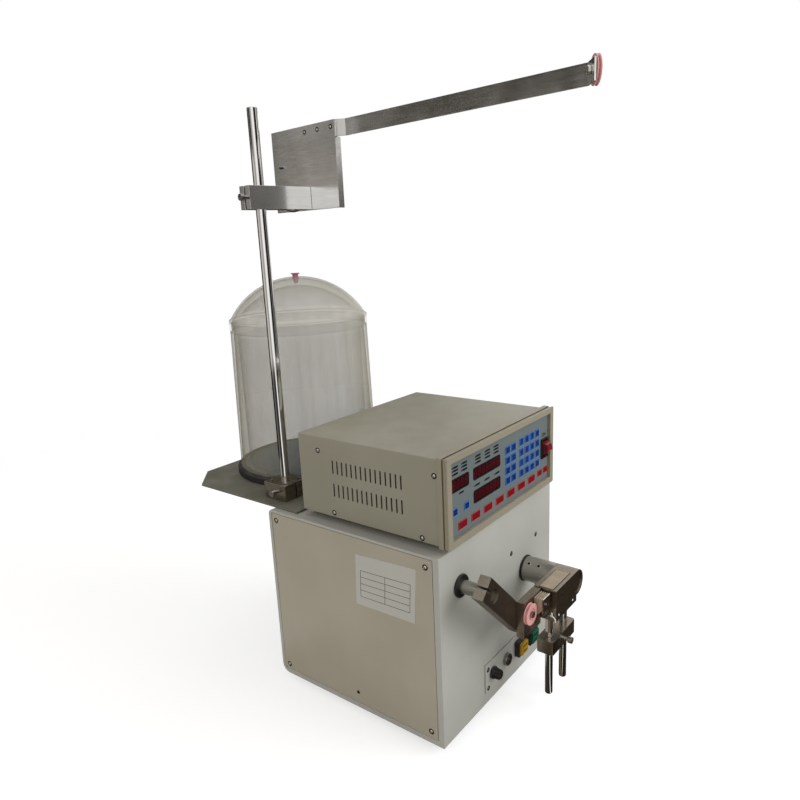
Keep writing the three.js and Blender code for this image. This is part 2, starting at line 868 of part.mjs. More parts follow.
const blockBottom = plateTop + seat;
const blockTop = blockBottom + pillarBlockHeight;
const blockX = [pillarX - pillarBlockWidth / 2, pillarX + pillarBlockWidth / 2];
const blockY = [pillarY - pillarBlockDepth / 2, pillarY + pillarBlockDepth / 2];
const blockBolts = grow(blockX, -pillarBoltInset).flatMap((x) =>
  grow(blockY, -pillarBoltInset).map((y) =>
    cylinder("z", pillarBoltRadius, [blockTop - pillarBoltDepth, blockTop + overrun], x, y, smallSides),
  ),
);
const pillarScrewY = pillarY - pillarScrewForward;
const pillarScrewZ = blockBottom + pillarScrewRise;
const pillarScrewEnd = pillarX + pillarBlockWidth / 4;
const pillarBlock = cut(box(blockX, blockY, [blockBottom, blockTop]), [
  cylinder("z", pillarRadius + running, [blockBottom - overrun, blockTop + overrun], pillarX, pillarY),
  box(
    [pillarX - pillarSlit / 2, pillarX + pillarSlit / 2],
    [blockY[0] - overrun, pillarY],
    [blockBottom - overrun, blockTop + overrun],
  ),
  cylinder("x", capShankRadius + running, [blockX[0] - overrun, pillarScrewEnd], pillarScrewY, pillarScrewZ, smallSides),
  ...blockBolts,
]);
add("pillar_block", pillarBlock, looks.nickel);
add(
  "pillar_clamp_screw",
  capScrew(
    "x",
    pillarScrewY,
    pillarScrewZ,
    pillarScrewEnd - seat,
    blockX[0] - pillarScrewOut,
    blockX[0] - pillarScrewOut - capHeadHeight,
    -1,
  ),
  looks.chrome,
);
add(
  "pillar_rod",
  turned(
    "z",
    [
      [0, plateTop + seat],
      [pillarRadius, plateTop + seat],
      [pillarRadius, pillarTop - pillarTopEdge],
      [pillarRadius - pillarTopEdge, pillarTop],
      [0, pillarTop],
    ],
    pillarX,
    pillarY,
    roundSides,
  ),
  looks.chrome,
);

// Overhead bracket, turned about the pillar: clamp bar, guide plate, wire arm and tip pulley
const bracket = new THREE.Group();
bracket.position.set(pillarX, pillarY, 0);
bracket.rotation.z = -bracketTurn;
machine.add(bracket);
const addBracket = (name, geometry, look) => bracket.add(mesh(name, geometry, look));
const bracketTop = bracketBottom + bracketBarHeight;
const barMiddle = (bracketBottom + bracketTop) / 2;
const bracketBar = cut(
  box(
    [-bracketBarBack, bracketBarReach - seat],
    [-bracketBarDepth / 2, bracketBarDepth / 2],
    [bracketBottom, bracketTop],
  ),
  [
    cylinder("z", pillarRadius + running, [bracketBottom - overrun, bracketTop + overrun], 0, 0),
    box(
      [-bracketBarBack - overrun, 0],
      [-bracketSlit / 2, bracketSlit / 2],
      [bracketBottom - overrun, bracketTop + overrun],
    ),
  ],
);
addBracket("bracket_bar", bracketBar, looks.steel);
const bracketScrewHead = -bracketBarBack - bracketScrewOut;
addBracket(
  "bracket_screw",
  capScrew(
    "x",
    -bracketBarDepth / 4 - capShankRadius,
    barMiddle,
    -bracketBarBack - seat,
    bracketScrewHead,
    bracketScrewHead - capHeadHeight,
    -1,
  ),
  looks.chrome,
);

const guidePlateX = [bracketBarReach, bracketBarReach + guidePlateThickness];
const guidePlateBottom = bracketBottom - guidePlateLowering;
const guidePlateTop = guidePlateBottom + guidePlateHeight;
const guideArmBottom = guidePlateTop - guideArmHeight;
const guidePlate = join([
  box(guidePlateX, [-guidePlateFront, guidePlateBack], [guidePlateBottom, guidePlateTop]),
  box(
    [guidePlateX[0], guidePlateX[0] + guidePlateFlange],
    [-guidePlateFront, guidePlateThickness - guidePlateFront],
    [guidePlateBottom, guideArmBottom - seat],
  ),
]);
addBracket("guide_plate", guidePlate, looks.steel);

// A bent strip of even thickness along a centre line, as an outline.
function stripOutline(line, thickness) {
  const side = (sign) =>
    line.map(([x, y], i) => {
      const before = line[Math.max(i - 1, 0)];
      const after = line[Math.min(i + 1, line.length - 1)];
      const unit = (p, q) => {
        const length = Math.hypot(q[0] - p[0], q[1] - p[1]);
        return length ? [(q[0] - p[0]) / length, (q[1] - p[1]) / length] : [0, 0];
      };
      const into = unit(before, [x, y]);
      const out = unit([x, y], after);
      const away = [-(into[1] + out[1]), into[0] + out[0]];
      const reach = Math.hypot(...away);
      const mitre = into[0] * out[0] + into[1] * out[1];
      const isEnd = i === 0 || i === line.length - 1;
      const half = isEnd ? thickness / 2 : thickness / 2 / Math.sqrt((1 + mitre) / 2);
      return [x + (sign * half * away[0]) / reach, y + (sign * half * away[1]) / reach];
    });
  return [...side(1), ...side(-1).reverse()];
}
const armRearX = guidePlateX[1] + seat + guideArmThickness / 2;
const armLineX = armRearX + guideArmJoggle;
const joggleStart = -guidePlateFront - guideArmJoggleStart;
const joggleEnd = joggleStart - guideArmJoggleLength;
const tabEnd = [armLineX - guideTabLength * diagonal, -guideArmReach - guideTabLength * diagonal];
const armLine = [
  [armRearX, guideArmRear],
  [armRearX, joggleStart],
  [armLineX, joggleEnd],
  [armLineX, -guideArmReach],
  tabEnd,
];
// The tip pulley turns on an axle square to the tab, on its outer side.
const tipAlong = tipPulleyAlong * diagonal;
const tipCentre = new THREE.Vector3(
  armLineX - tipAlong,
  -guideArmReach - tipAlong,
  guideArmBottom + guideArmHeight / 2 + tipPulleyRise,
);
const tipAxis = new THREE.Vector3(diagonal, -diagonal, 0);
function onTip(geometry) {
  const turn = new THREE.Quaternion().setFromUnitVectors(new THREE.Vector3(0, 1, 0), tipAxis);
  geometry.applyQuaternion(turn);
  geometry.translate(tipCentre.x, tipCentre.y, tipCentre.z);
  return geometry;
}
const tabFace = guideArmThickness / 2;
const tipPulleySpan = [tabFace + running * 2, tabFace + running * 2 + tipPulleyThickness];
const guideArm = cut(prism("z", stripOutline(armLine, guideArmThickness), [guideArmBottom, guidePlateTop]), [
  onTip(cylinder("y", axleRadius + running, [-overrun, overrun], 0, 0, smallSides)),
]);
addBracket("guide_arm", guideArm, looks.steel);
addBracket("tip_pulley", onTip(groovedPulley("y", tipPulleySpan, 0, 0)), looks.ceramic);
const tipHeadBack = tipPulleySpan[1] - pulleyRecess + running;
const tipNutBack = -tabFace - seat;
const tipAxle = join([
  cylinder("y", axleRadius, [tipNutBack - axleHeadHeight, tipHeadBack + axleHeadHeight / 2], 0, 0, smallSides),
  cylinder("y", axleHeadRadius, [tipHeadBack, tipHeadBack + axleHeadHeight / 2], 0, 0, smallSides),
  cylinder("y", axleHeadRadius, [tipNutBack - axleHeadHeight, tipNutBack], 0, 0, cornerSteps + 2),
]);
addBracket("tip_axle", onTip(tipAxle), looks.chrome);

// Wire tank: black base, felt, tapered clear wall and a lift-off domed lid with an eyelet
const tankFoot = plateTop + seat;
const tankBaseTop = tankFoot + tankBaseHeight;
add(
  "tank_base",
  turned(
    "z",
    [
      [0, tankBaseTop - tankBaseFloor],
      [tankBaseRadius - tankBaseRim, tankBaseTop - tankBaseFloor],
      [tankBaseRadius - tankBaseRim, tankFoot],
      [tankBaseRadius, tankFoot],
      [tankBaseRadius, tankBaseTop - tankBaseEdge],
      [tankBaseRadius - tankBaseEdge, tankBaseTop],
      [0, tankBaseTop],
    ],
    tankX,
    tankY,
    tankSides,
  ),
  looks.rubber,
);
add(
  "tank_felt",
  turned(
    "z",
    [
      [0, tankBaseTop + seat],
      [feltRadius, tankBaseTop + seat],
      [feltRadius, tankBaseTop + feltThickness],
      [0, tankBaseTop + feltThickness],
    ],
    tankX,
    tankY,
    tankSides,
  ),
  looks.felt,
);
const neckRadius = tankShoulderRadius - tankNeckStep;
const neckTop = tankShoulderZ + tankNeckHeight;
add(
  "tank_wall",
  turned(
    "z",
    [
      [tankFootRadius - tankWall, tankBaseTop + seat],
      [tankFootRadius, tankBaseTop + seat],
      [tankShoulderRadius, tankShoulderZ],
      [neckRadius, tankShoulderZ],
      [neckRadius, neckTop],
      [neckRadius - tankWall, neckTop],
      [neckRadius - tankWall, tankShoulderZ - tankWall],
      [tankFootRadius - tankWall, tankBaseTop + seat],
    ],
    tankX,
    tankY,
    tankSides,
  ),
  looks.tank,
);

// The dome's outer and inner faces from the eyelet's hole out to the skirt
const domeCentre = lidTop - lidDomeRadius;
const domeArc = (radius, from, to, steps) =>
  Array.from({ length: steps + 1 }, (_, k) => {
    const r = from + ((to - from) * k) / steps;
    return [r, domeCentre + Math.sqrt(radius * radius - r * r)];
  });
const skirtInner = neckRadius + lidSkirtGap;
const lidHole = eyeletNeckRadius + running;
const lidInner = lidDomeRadius - tankWall;
const lidJoinInner = domeCentre + Math.sqrt(lidInner * lidInner - skirtInner * skirtInner);
const lidProfile = [
  [skirtInner, tankShoulderZ + seat],
  [lidSkirtRadius, tankShoulderZ + seat],
  [lidSkirtRadius, lidSkirtTop],
  ...domeArc(lidDomeRadius, lidSkirtRadius - tankWall / 2, lidHole, lidRingSteps),
  ...domeArc(lidInner, lidHole, skirtInner, lidRingSteps),
  [skirtInner, Math.min(lidJoinInner, lidSkirtTop) - running],
  [skirtInner, tankShoulderZ + seat],
];
add("tank_lid", turned("z", lidProfile, tankX, tankY, tankSides), looks.tank);
const eyeletUnder = lidTop - tankWall - seat;
const eyeletOver = lidTop + seat;
add(
  "tank_eyelet",
  turned(
    "z",
    [
      [eyeletHoleRadius, eyeletUnder - eyeletFlange],
      [eyeletRadius - seat * 2, eyeletUnder - eyeletFlange],
      [eyeletRadius - seat * 2, eyeletUnder],
      [eyeletNeckRadius, eyeletUnder],
      [eyeletNeckRadius, eyeletOver + eyeletProud - eyeletFlange],
      [eyeletRadius, eyeletOver + eyeletProud - eyeletFlange],
      [eyeletRadius, eyeletOver + eyeletProud],
      [eyeletHoleRadius, eyeletOver + eyeletProud],
      [eyeletHoleRadius, eyeletUnder - eyeletFlange],
    ],
    tankX,
    tankY,
    roundSides,
  ),
  looks.ceramic,
);

// Control box: vented case, rear panel, bezel, membrane, windows and rocker
const caseX = [caseLeft, caseLeft + caseWidth];
const caseY = [caseFront, caseFront + caseDepth];
const caseZ = [caseBottom, caseBottom + caseHeight];
const caseBends = Array(bends.length).fill(caseBend);
const vents = [ventUpperRise, ventLowerRise].flatMap((rise) =>
  Array.from({ length: ventCount }, (_, i) => {
    const y = ventStart + i * ventPitch;
    const z = caseBottom + rise;
    return [
      box([caseX[0] - overrun, caseX[0] + overrun], [y, y + ventWidth], [z, z + ventHeight]),
      box([caseX[1] - overrun, caseX[1] + overrun], [y, y + ventWidth], [z, z + ventHeight]),
    ];
  }).flat(),
);
const controlCase = cut(prism("y", rounded(caseX, caseZ, caseBends), caseY), [
  box(grow(caseX, -caseSheet), grow(caseY, overrun), grow(caseZ, -caseSheet)),
  ...vents,
]);
add("controller_case", controlCase, looks.casePaint);

const rearPanelY = [caseY[1] - rearPanelInset - rearPanelSheet, caseY[1] - rearPanelInset];
const rearMiddleX = (caseX[0] + caseX[1]) / 2;
const rearMiddleZ = (caseZ[0] + caseZ[1]) / 2;
const plugPlaces = [-1, 0, 1].map((k) => rearMiddleX + k * plugSpacing);
const rearPanel = cut(
  join([
    box(grow(caseX, -caseSheet - seat), rearPanelY, grow(caseZ, -caseSheet - seat)),
    ...plugPlaces.map((x) =>
      cylinder("y", plugRadius, [rearPanelY[0], rearPanelY[1] + plugLength], x, rearMiddleZ, smallSides),
    ),
  ]),
  plugPlaces.map((x) =>
    cylinder(
      "y",
      plugHoleRadius,
      [rearPanelY[1] + plugLength - plugHoleDepth, rearPanelY[1] + plugLength + overrun],
      x,
      rearMiddleZ,
      smallSides,
    ),
  ),
);
add("controller_rear_panel", rearPanel, looks.casePaint);

const caseFeet = {
  controller_foot_front_left: [caseX[0] + caseFootInset, caseY[0] + caseFootInset],
  controller_foot_front_right: [caseX[1] - caseFootInset, caseY[0] + caseFootInset],
  controller_foot_rear_left: [caseX[0] + caseFootInset, caseY[1] - caseFootInset],
  controller_foot_rear_right: [caseX[1] - caseFootInset, caseY[1] - caseFootInset],
};
for (const [name, [x, y]] of Object.entries(caseFeet)) {
  const foot = [
    [0, cabinetHeight + seat],
    [caseFootRadius, cabinetHeight + seat],
    [caseFootRadius, caseZ[0] - seat],
    [0, caseZ[0] - seat],
  ];
  add(name, turned("z", foot, x, y, smallSides), looks.rubber);
}

const bezelX = grow(caseX, bezelOutset);
const bezelZ = [caseZ[0] - bezelDrop, caseZ[1] + bezelRise];
const openingX = grow(bezelX, -bezelMargin);
const openingZ = [bezelZ[0] + bezelMargin, bezelZ[1] - bezelTopMargin];
const membraneBack = membraneThickness - membraneFront;
const grooveRing = cut(
  box(grow(bezelX, overrun), [-bezelGrooveFront, -bezelRidgeFront], grow(bezelZ, overrun)),
  [box(grow(bezelX, -bezelGroove), [-bezelLipFront, overrun], grow(bezelZ, -bezelGroove))],
);
const bezel = cut(
  prism("y", rounded(bezelX, bezelZ, caseBends), [-bezelLipFront, caseFront - bezelRidgeBack]),
  [
    grooveRing,
    box(openingX, [-bezelLipFront - overrun, membraneBack + seat], openingZ),
    box(grow(openingX, -bezelLedge), [-bezelLipFront, caseFront + overrun], grow(openingZ, -bezelLedge)),
  ],
);
add("controller_bezel", bezel, looks.bezelPlastic);

const membraneX = grow(openingX, -membraneGap);
const membraneZ = grow(openingZ, -membraneGap);
const windows = Object.entries(windowPlaces).map(([name, { x, width, rise, height }]) => {
  const corners = Array(bends.length).fill(windowCorner);
  const z = caseBottom + rise;
  return { name, spanX: [x, x + width], spanZ: [z, z + height], corners };
});
const keyBlocks = [numberKeys, functionKeys, shiftKeys, commandKeys, statusKeys].flatMap((group) =>
  Array.from({ length: group.columns * group.rows }, (_, i) => {
    const x = group.x + (i % group.columns) * group.pitchX;
    const z = caseBottom + group.rise + Math.floor(i / group.columns) * group.pitchZ;
    const corners = Array(bends.length).fill(keyCorner);
    const keyOutline = rounded([x, x + group.width], [z, z + group.height], corners, keyCornerSteps);
    return prism("y", keyOutline, [-membraneFront - keyProud, -membraneFront + windowDepth / 2]);
  }),
);
const rockerSpanX = [rockerX, rockerX + rockerWidth];
const rockerSpanZ = [rockerZ, rockerZ + rockerHeight];
const membrane = cut(
  join([box(membraneX, [-membraneFront, membraneBack], membraneZ), ...keyBlocks]),
  [
    ...windows.map(({ spanX, spanZ, corners }) =>
      prism("y", rounded(spanX, spanZ, corners), [-membraneFront - overrun, windowDepth + seat - membraneFront]),
    ),
    box(
      grow(rockerSpanX, seat - rockerBodyInset),
      [-membraneFront - overrun, overrun],
      grow(rockerSpanZ, seat - rockerBodyInset),
    ),
  ],
);
add("membrane_panel", membrane, looks.membrane);
for (const { name, spanX, spanZ, corners } of windows) {
  const pane = rounded(grow(spanX, -seat), grow(spanZ, -seat), corners);
  add(name, prism("y", pane, [-membraneFront, windowDepth - membraneFront]), looks.display);
}

const rockerFront = -membraneFront - seat - rockerFlange;
const rockerHousing = cut(
  join([
    box(rockerSpanX, [rockerFront, -membraneFront - seat], rockerSpanZ),
    box(
      grow(rockerSpanX, -rockerBodyInset),
      [rockerFront, rockerBodyDepth - membraneFront],
      grow(rockerSpanZ, -rockerBodyInset),
    ),
  ]),
  [
    box(
      grow(rockerSpanX, -rockerRim),
      [rockerFront - overrun, rockerBodyDepth - membraneFront - rockerRim],
      grow(rockerSpanZ, -rockerRim),
    ),
  ],
);
add("rocker_housing", rockerHousing, looks.blackPlastic);

// The rocker is drawn level about its pivot and turned to the stop that it rests on.
const rockerPivot = [rockerFront + rockerTail, rockerZ + rockerHeight / 2];
const rockerOutline = [
  [rockerTail, -rockerPaddleHalf],
  [rockerTail, rockerPaddleHalf],
  [-rockerShoulder, rockerBaseHalf],
  [-rockerTail - rockerShoulder / 2, rockerBaseHalf],
  [-rockerTail - rockerPaddleReach, rockerPaddleHalf],
  [-rockerTail - rockerPaddleReach, -rockerPaddleHalf],
  [-rockerTail - rockerShoulder / 2, -rockerBaseHalf],
  [-rockerShoulder, -rockerBaseHalf],
].map(([y, z]) => [
  rockerPivot[0] + y * Math.cos(rockerRest) - z * Math.sin(rockerRest),
  rockerPivot[1] + y * Math.sin(rockerRest) + z * Math.cos(rockerRest),
]);
add("rocker", prism("x", rockerOutline, grow(rockerSpanX, -rockerRim - rockerSideGap)), looks.red);

// Control strip with knob, socket and two push buttons
const stripBack = -seat;
const stripFront = stripBack - stripThickness;
const strip = cut(
  box([stripLeft, stripLeft + stripWidth], [stripFront, stripBack], [stripBottom, stripBottom + stripHeight]),
  [cylinder("y", knobStemRadius + running, [stripFront - overrun, overrun], knobX, knobZ, smallSides)],
);
add("control_strip", strip, looks.cabinetPaint);

const knobBack = stripFront - running * 2;
const knobFront = knobBack - knobLength;
const knobBody = turned(
  "y",
  [
    [0, knobFront],
    [knobTipRadius - sealStep, knobFront],
    [knobTipRadius, knobFront + sealStep],
    [knobRadius - sealStep, knobBack - knobSkirt],
    [knobRadius, knobBack - knobSkirt],
    [knobRadius, knobBack],
    [knobStemRadius, knobBack],
    [knobStemRadius, knobStemReach],
    [0, knobStemReach],
  ],
  knobX,
  knobZ,
);
const knobFlutes = Array.from({ length: knobFluteCount }, (_, i) => {
  const flute = box(
    [knobTipRadius - knobFluteDepth, knobRadius + overrun],
    [knobFront - overrun, knobBack - knobSkirt - sealStep],
    [-knobFluteWidth / 2, knobFluteWidth / 2],
  );
  flute.rotateY((i / knobFluteCount) * Math.PI * 2);
  flute.translate(knobX, 0, knobZ);
  return flute;
});
add("knob", cut(knobBody, knobFlutes), looks.blackPlastic);

const socketBack = stripFront - seat;
const socketFront = socketBack - socketLength;
add(
  "socket_ring",
  turned(
    "y",
    [
      [0, socketFront + socketBoreDepth],
      [socketBoreRadius, socketFront + socketBoreDepth],
      [socketBoreRadius, socketFront],
      [socketRadius - socketEdge, socketFront],
      [socketRadius, socketFront + socketEdge],
      [socketRadius, socketBack],
      [0, socketBack],
    ],
    socketX,
    socketZ,
  ),
  looks.chrome,
);

for (const [colour, left] of Object.entries(buttonLeft)) {
  const spanX = [left, left + buttonWidth];
  const spanZ = [buttonBottom, buttonBottom + buttonHeight];
  const housingBack = stripFront - seat;
  const housingFront = housingBack - buttonHousingDepth;
  const well = [housingFront - overrun, housingBack - buttonFloor];
  const housing = cut(box(spanX, [housingFront, housingBack], spanZ), [
    box(grow(spanX, -buttonWall), well, grow(spanZ, -buttonWall)),
  ]);
  add(colour + "_housing", housing, looks.blackPlastic);
  const inset = -buttonWall - buttonGap;
  const buttonBack = housingBack - buttonFloor - buttonTravel - seat;
  const buttonFront = housingFront - buttonProud;
  const button = join([
    box(grow(spanX, inset), [housingFront, buttonBack], grow(spanZ, inset)),
    box(grow(spanX, inset - buttonFaceInset / 2), [buttonFront, buttonBack], grow(spanZ, inset - buttonFaceInset / 2)),
  ]);
  add(colour + "_button", button, looks[colour]);
}

// The machine stands on the middle of its own footprint.
machine.updateMatrixWorld(true);
const bounds = new THREE.Box3().setFromObject(machine, true);
const middle = bounds.getCenter(new THREE.Vector3());
machine.position.set(-middle.x, -middle.y, -bounds.min.z);
machine.updateMatrixWorld(true);

export default machine;
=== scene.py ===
"""Finishes and fine parts of a bench coil winding machine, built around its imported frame.

Lengths in the classes are millimetres, measured from the cabinet's lower front left corner: x to the right
along the front, y to the back, z up. Finishes, meshes and the studio are in Blender's own metres.
"""

from __future__ import annotations

import json
import logging
import math
from dataclasses import dataclass
from enum import Enum
from typing import ClassVar, Iterable, Optional, Sequence, Union

import bmesh
import bpy
from mathutils import Matrix, Vector

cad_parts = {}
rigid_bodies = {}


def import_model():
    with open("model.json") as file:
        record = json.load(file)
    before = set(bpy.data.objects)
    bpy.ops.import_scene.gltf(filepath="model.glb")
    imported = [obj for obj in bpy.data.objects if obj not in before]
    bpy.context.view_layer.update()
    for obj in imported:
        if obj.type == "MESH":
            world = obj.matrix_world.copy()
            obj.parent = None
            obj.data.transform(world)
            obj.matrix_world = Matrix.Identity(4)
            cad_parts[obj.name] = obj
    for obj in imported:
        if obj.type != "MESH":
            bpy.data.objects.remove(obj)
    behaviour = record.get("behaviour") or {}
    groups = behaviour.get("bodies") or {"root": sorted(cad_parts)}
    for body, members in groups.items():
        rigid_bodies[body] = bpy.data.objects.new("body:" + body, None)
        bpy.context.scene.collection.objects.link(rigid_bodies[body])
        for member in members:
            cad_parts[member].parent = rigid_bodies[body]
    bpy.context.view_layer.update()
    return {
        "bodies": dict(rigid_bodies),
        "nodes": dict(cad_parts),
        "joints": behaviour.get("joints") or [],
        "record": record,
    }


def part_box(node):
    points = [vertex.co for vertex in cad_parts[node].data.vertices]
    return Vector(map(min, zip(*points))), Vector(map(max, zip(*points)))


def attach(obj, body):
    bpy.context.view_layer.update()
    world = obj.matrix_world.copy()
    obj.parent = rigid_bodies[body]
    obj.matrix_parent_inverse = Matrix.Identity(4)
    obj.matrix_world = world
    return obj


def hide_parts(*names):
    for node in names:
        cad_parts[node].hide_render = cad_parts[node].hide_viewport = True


LOG = logging.getLogger("coil_winder")
MM = 0.001
# The angle from which an edge is sharp.
SMOOTH_ANGLE = math.radians(32)
# How near the points of a turned mesh are when they count as one, in metres.
LATHE_WELD = 0.0000005
# The gap at the ends of a digit's bars, and the radius of their corners, as a share of their width.
SEGMENT_GAP = 0.3
# How finely a wire is rounded: it has four sides, and two more for each step.
WIRE_STEPS = 3

Socket = bpy.types.NodeSocket
Feed = Union[float, int, bool, tuple, Socket, bpy.types.Material, bpy.types.Object]
Place = tuple[float, float, float]
Flat = tuple[float, float]
Colour = tuple[float, float, float]


class Axis(Enum):
    """A direction of the row frame, as a unit vector."""

    LEFT = (-1.0, 0.0, 0.0)
    RIGHT = (1.0, 0.0, 0.0)
    FRONT = (0.0, -1.0, 0.0)
    UP = (0.0, 0.0, 1.0)
    DOWN = (0.0, 0.0, -1.0)

    @property
    def vector(self) -> Vector:
        """The direction as a vector."""
        return Vector(self.value)


class Drive(Enum):
    """The recess that a driver fits."""

    CROSS = "cross"
    HEX = "hex"


class Brush(Enum):
    """The way that brushing lines run on a metal face, as the stretch of their noise along x, y and z."""

    ALONG_X = (0.03, 1.0, 1.0)
    ALONG_Y = (1.0, 0.03, 1.0)
    ALONG_Z = (1.0, 1.0, 0.03)
    NONE = (1.0, 1.0, 1.0)


def srgb(red: int, green: int, blue: int) -> Colour:
    """Turns a colour as it is seen on a screen into the linear one that a shader takes.

    Args:
        red, green, blue: the colour's parts, from 0 to 255.

    Returns:
        The linear colour, each part from 0 to 1.
    """

    def linear(part: int) -> float:
        """Returns one part of the colour, made linear."""
        share = part / 255
        return share / 12.92 if share <= 0.04045 else ((share + 0.055) / 1.055) ** 2.4

    return linear(red), linear(green), linear(blue)


def scaled(colour: Colour, factor: float) -> Colour:
    """Returns a colour made lighter or darker, no part above one."""
    return tuple(min(part * factor, 1.0) for part in colour)


def opaque(colour: Feed) -> Feed:
    """Gives a plain colour its fourth part, and leaves a socket as it is."""
    return (*colour, 1.0) if isinstance(colour, tuple) and len(colour) == 3 else colour


class Graph:
    """Writes the nodes of one shader or geometry tree."""

    def __init__(self, tree: bpy.types.NodeTree) -> None:
        """Starts on a tree.

        Args:
            tree: the tree that the nodes go into.
        """
        self.tree = tree

    @classmethod
    def cleared(cls, owner: Union[bpy.types.Material, bpy.types.World]) -> Graph:
        """Empties the tree of a material or a world, and returns the graph to write new nodes with."""
        owner.use_nodes = True
        owner.node_tree.nodes.clear()
        return cls(owner.node_tree)

    def node(self, kind: str, feeds: Optional[dict] = None, **settings: object) -> bpy.types.Node:
        """Adds a node.

        Args:
            kind: Blender's name for the node's type.
            feeds: what goes into its sockets, by name or place: a value, or a socket to link.
            **settings: the node's own properties.

        Returns:
            The new node.
        """
        made = self.tree.nodes.new(kind)
        for name, value in settings.items():
            setattr(made, name, value)
        self.feed_all(made, feeds or {})
        return made

    def first(self, kind: str, feeds: Optional[dict] = None, **settings: object) -> Socket:
        """Adds a node, as above, and returns its first output."""
        return self.node(kind, feeds, **settings).outputs[0]

    def feed(self, socket: Socket, value: Feed) -> None:
        """Links a socket to another one, or sets its value."""
        if isinstance(value, bpy.types.NodeSocket):
            self.tree.links.new(value, socket)
        else:
            socket.default_value = value

    def feed_all(self, node: bpy.types.Node, feeds: dict) -> None:
        """Links or sets several of a node's inputs, by name or place."""
        for name, value in feeds.items():
            self.feed(node.inputs[name], value)

    def maths(self, operation: str, first: Feed, second: Feed = 0.0, clamp: bool = False) -> Socket:
        """Adds one step of arithmetic and returns its result."""
        return self.first("ShaderNodeMath", {0: first, 1: second}, operation=operation, use_clamp=clamp)

    def times(self, first: Feed, second: Feed, clamp: bool = False) -> Socket:
        """Multiplies two values and returns the result."""
        return self.maths("MULTIPLY", first, second, clamp)

    def blend(self, share: Feed, first: Feed, second: Feed) -> Socket:
        """Mixes two colours and returns the mix, all first at a share of nothing and all second at one."""
        feeds = {0: share, 6: opaque(first), 7: opaque(second)}
        return self.node("ShaderNodeMix", feeds, data_type="RGBA").outputs[2]

    def ramp(self, value: Feed, low: float, high: float, to_low: Feed = 0.0, to_high: Feed = 1.0) -> Socket:
        """Maps a value from one range to another, held at its ends, and returns the result."""
        feeds = {0: value, 1: low, 2: high, 3: to_low, 4: to_high}
        return self.first("ShaderNodeMapRange", feeds, clamp=True)

    def noise(self, where: Socket, scale: Feed, detail: float, **feeds: Feed) -> Socket:
        """Adds a noise texture, with further inputs by name, and returns its value."""
        feeds = {"Vector": where, "Scale": scale, "Detail": detail, **feeds}
        return self.first("ShaderNodeTexNoise", feeds)

    def coordinates(self) -> Socket:
        """Returns the object coordinates."""
        return self.node("ShaderNodeTexCoord").outputs["Object"]

    def vector(self, x: Feed, y: Feed, z: Feed) -> Socket:
        """Joins three values into a vector."""
        return self.first("ShaderNodeCombineXYZ", {0: x, 1: y, 2: z})

    def group(self, tree: bpy.types.NodeTree, output: str, **feeds: Feed) -> Socket:
        """Places a shared group and returns one of its outputs."""
        made = self.node("ShaderNodeGroup", node_tree=tree)
        self.feed_all(made, feeds)
        return made.outputs[output]


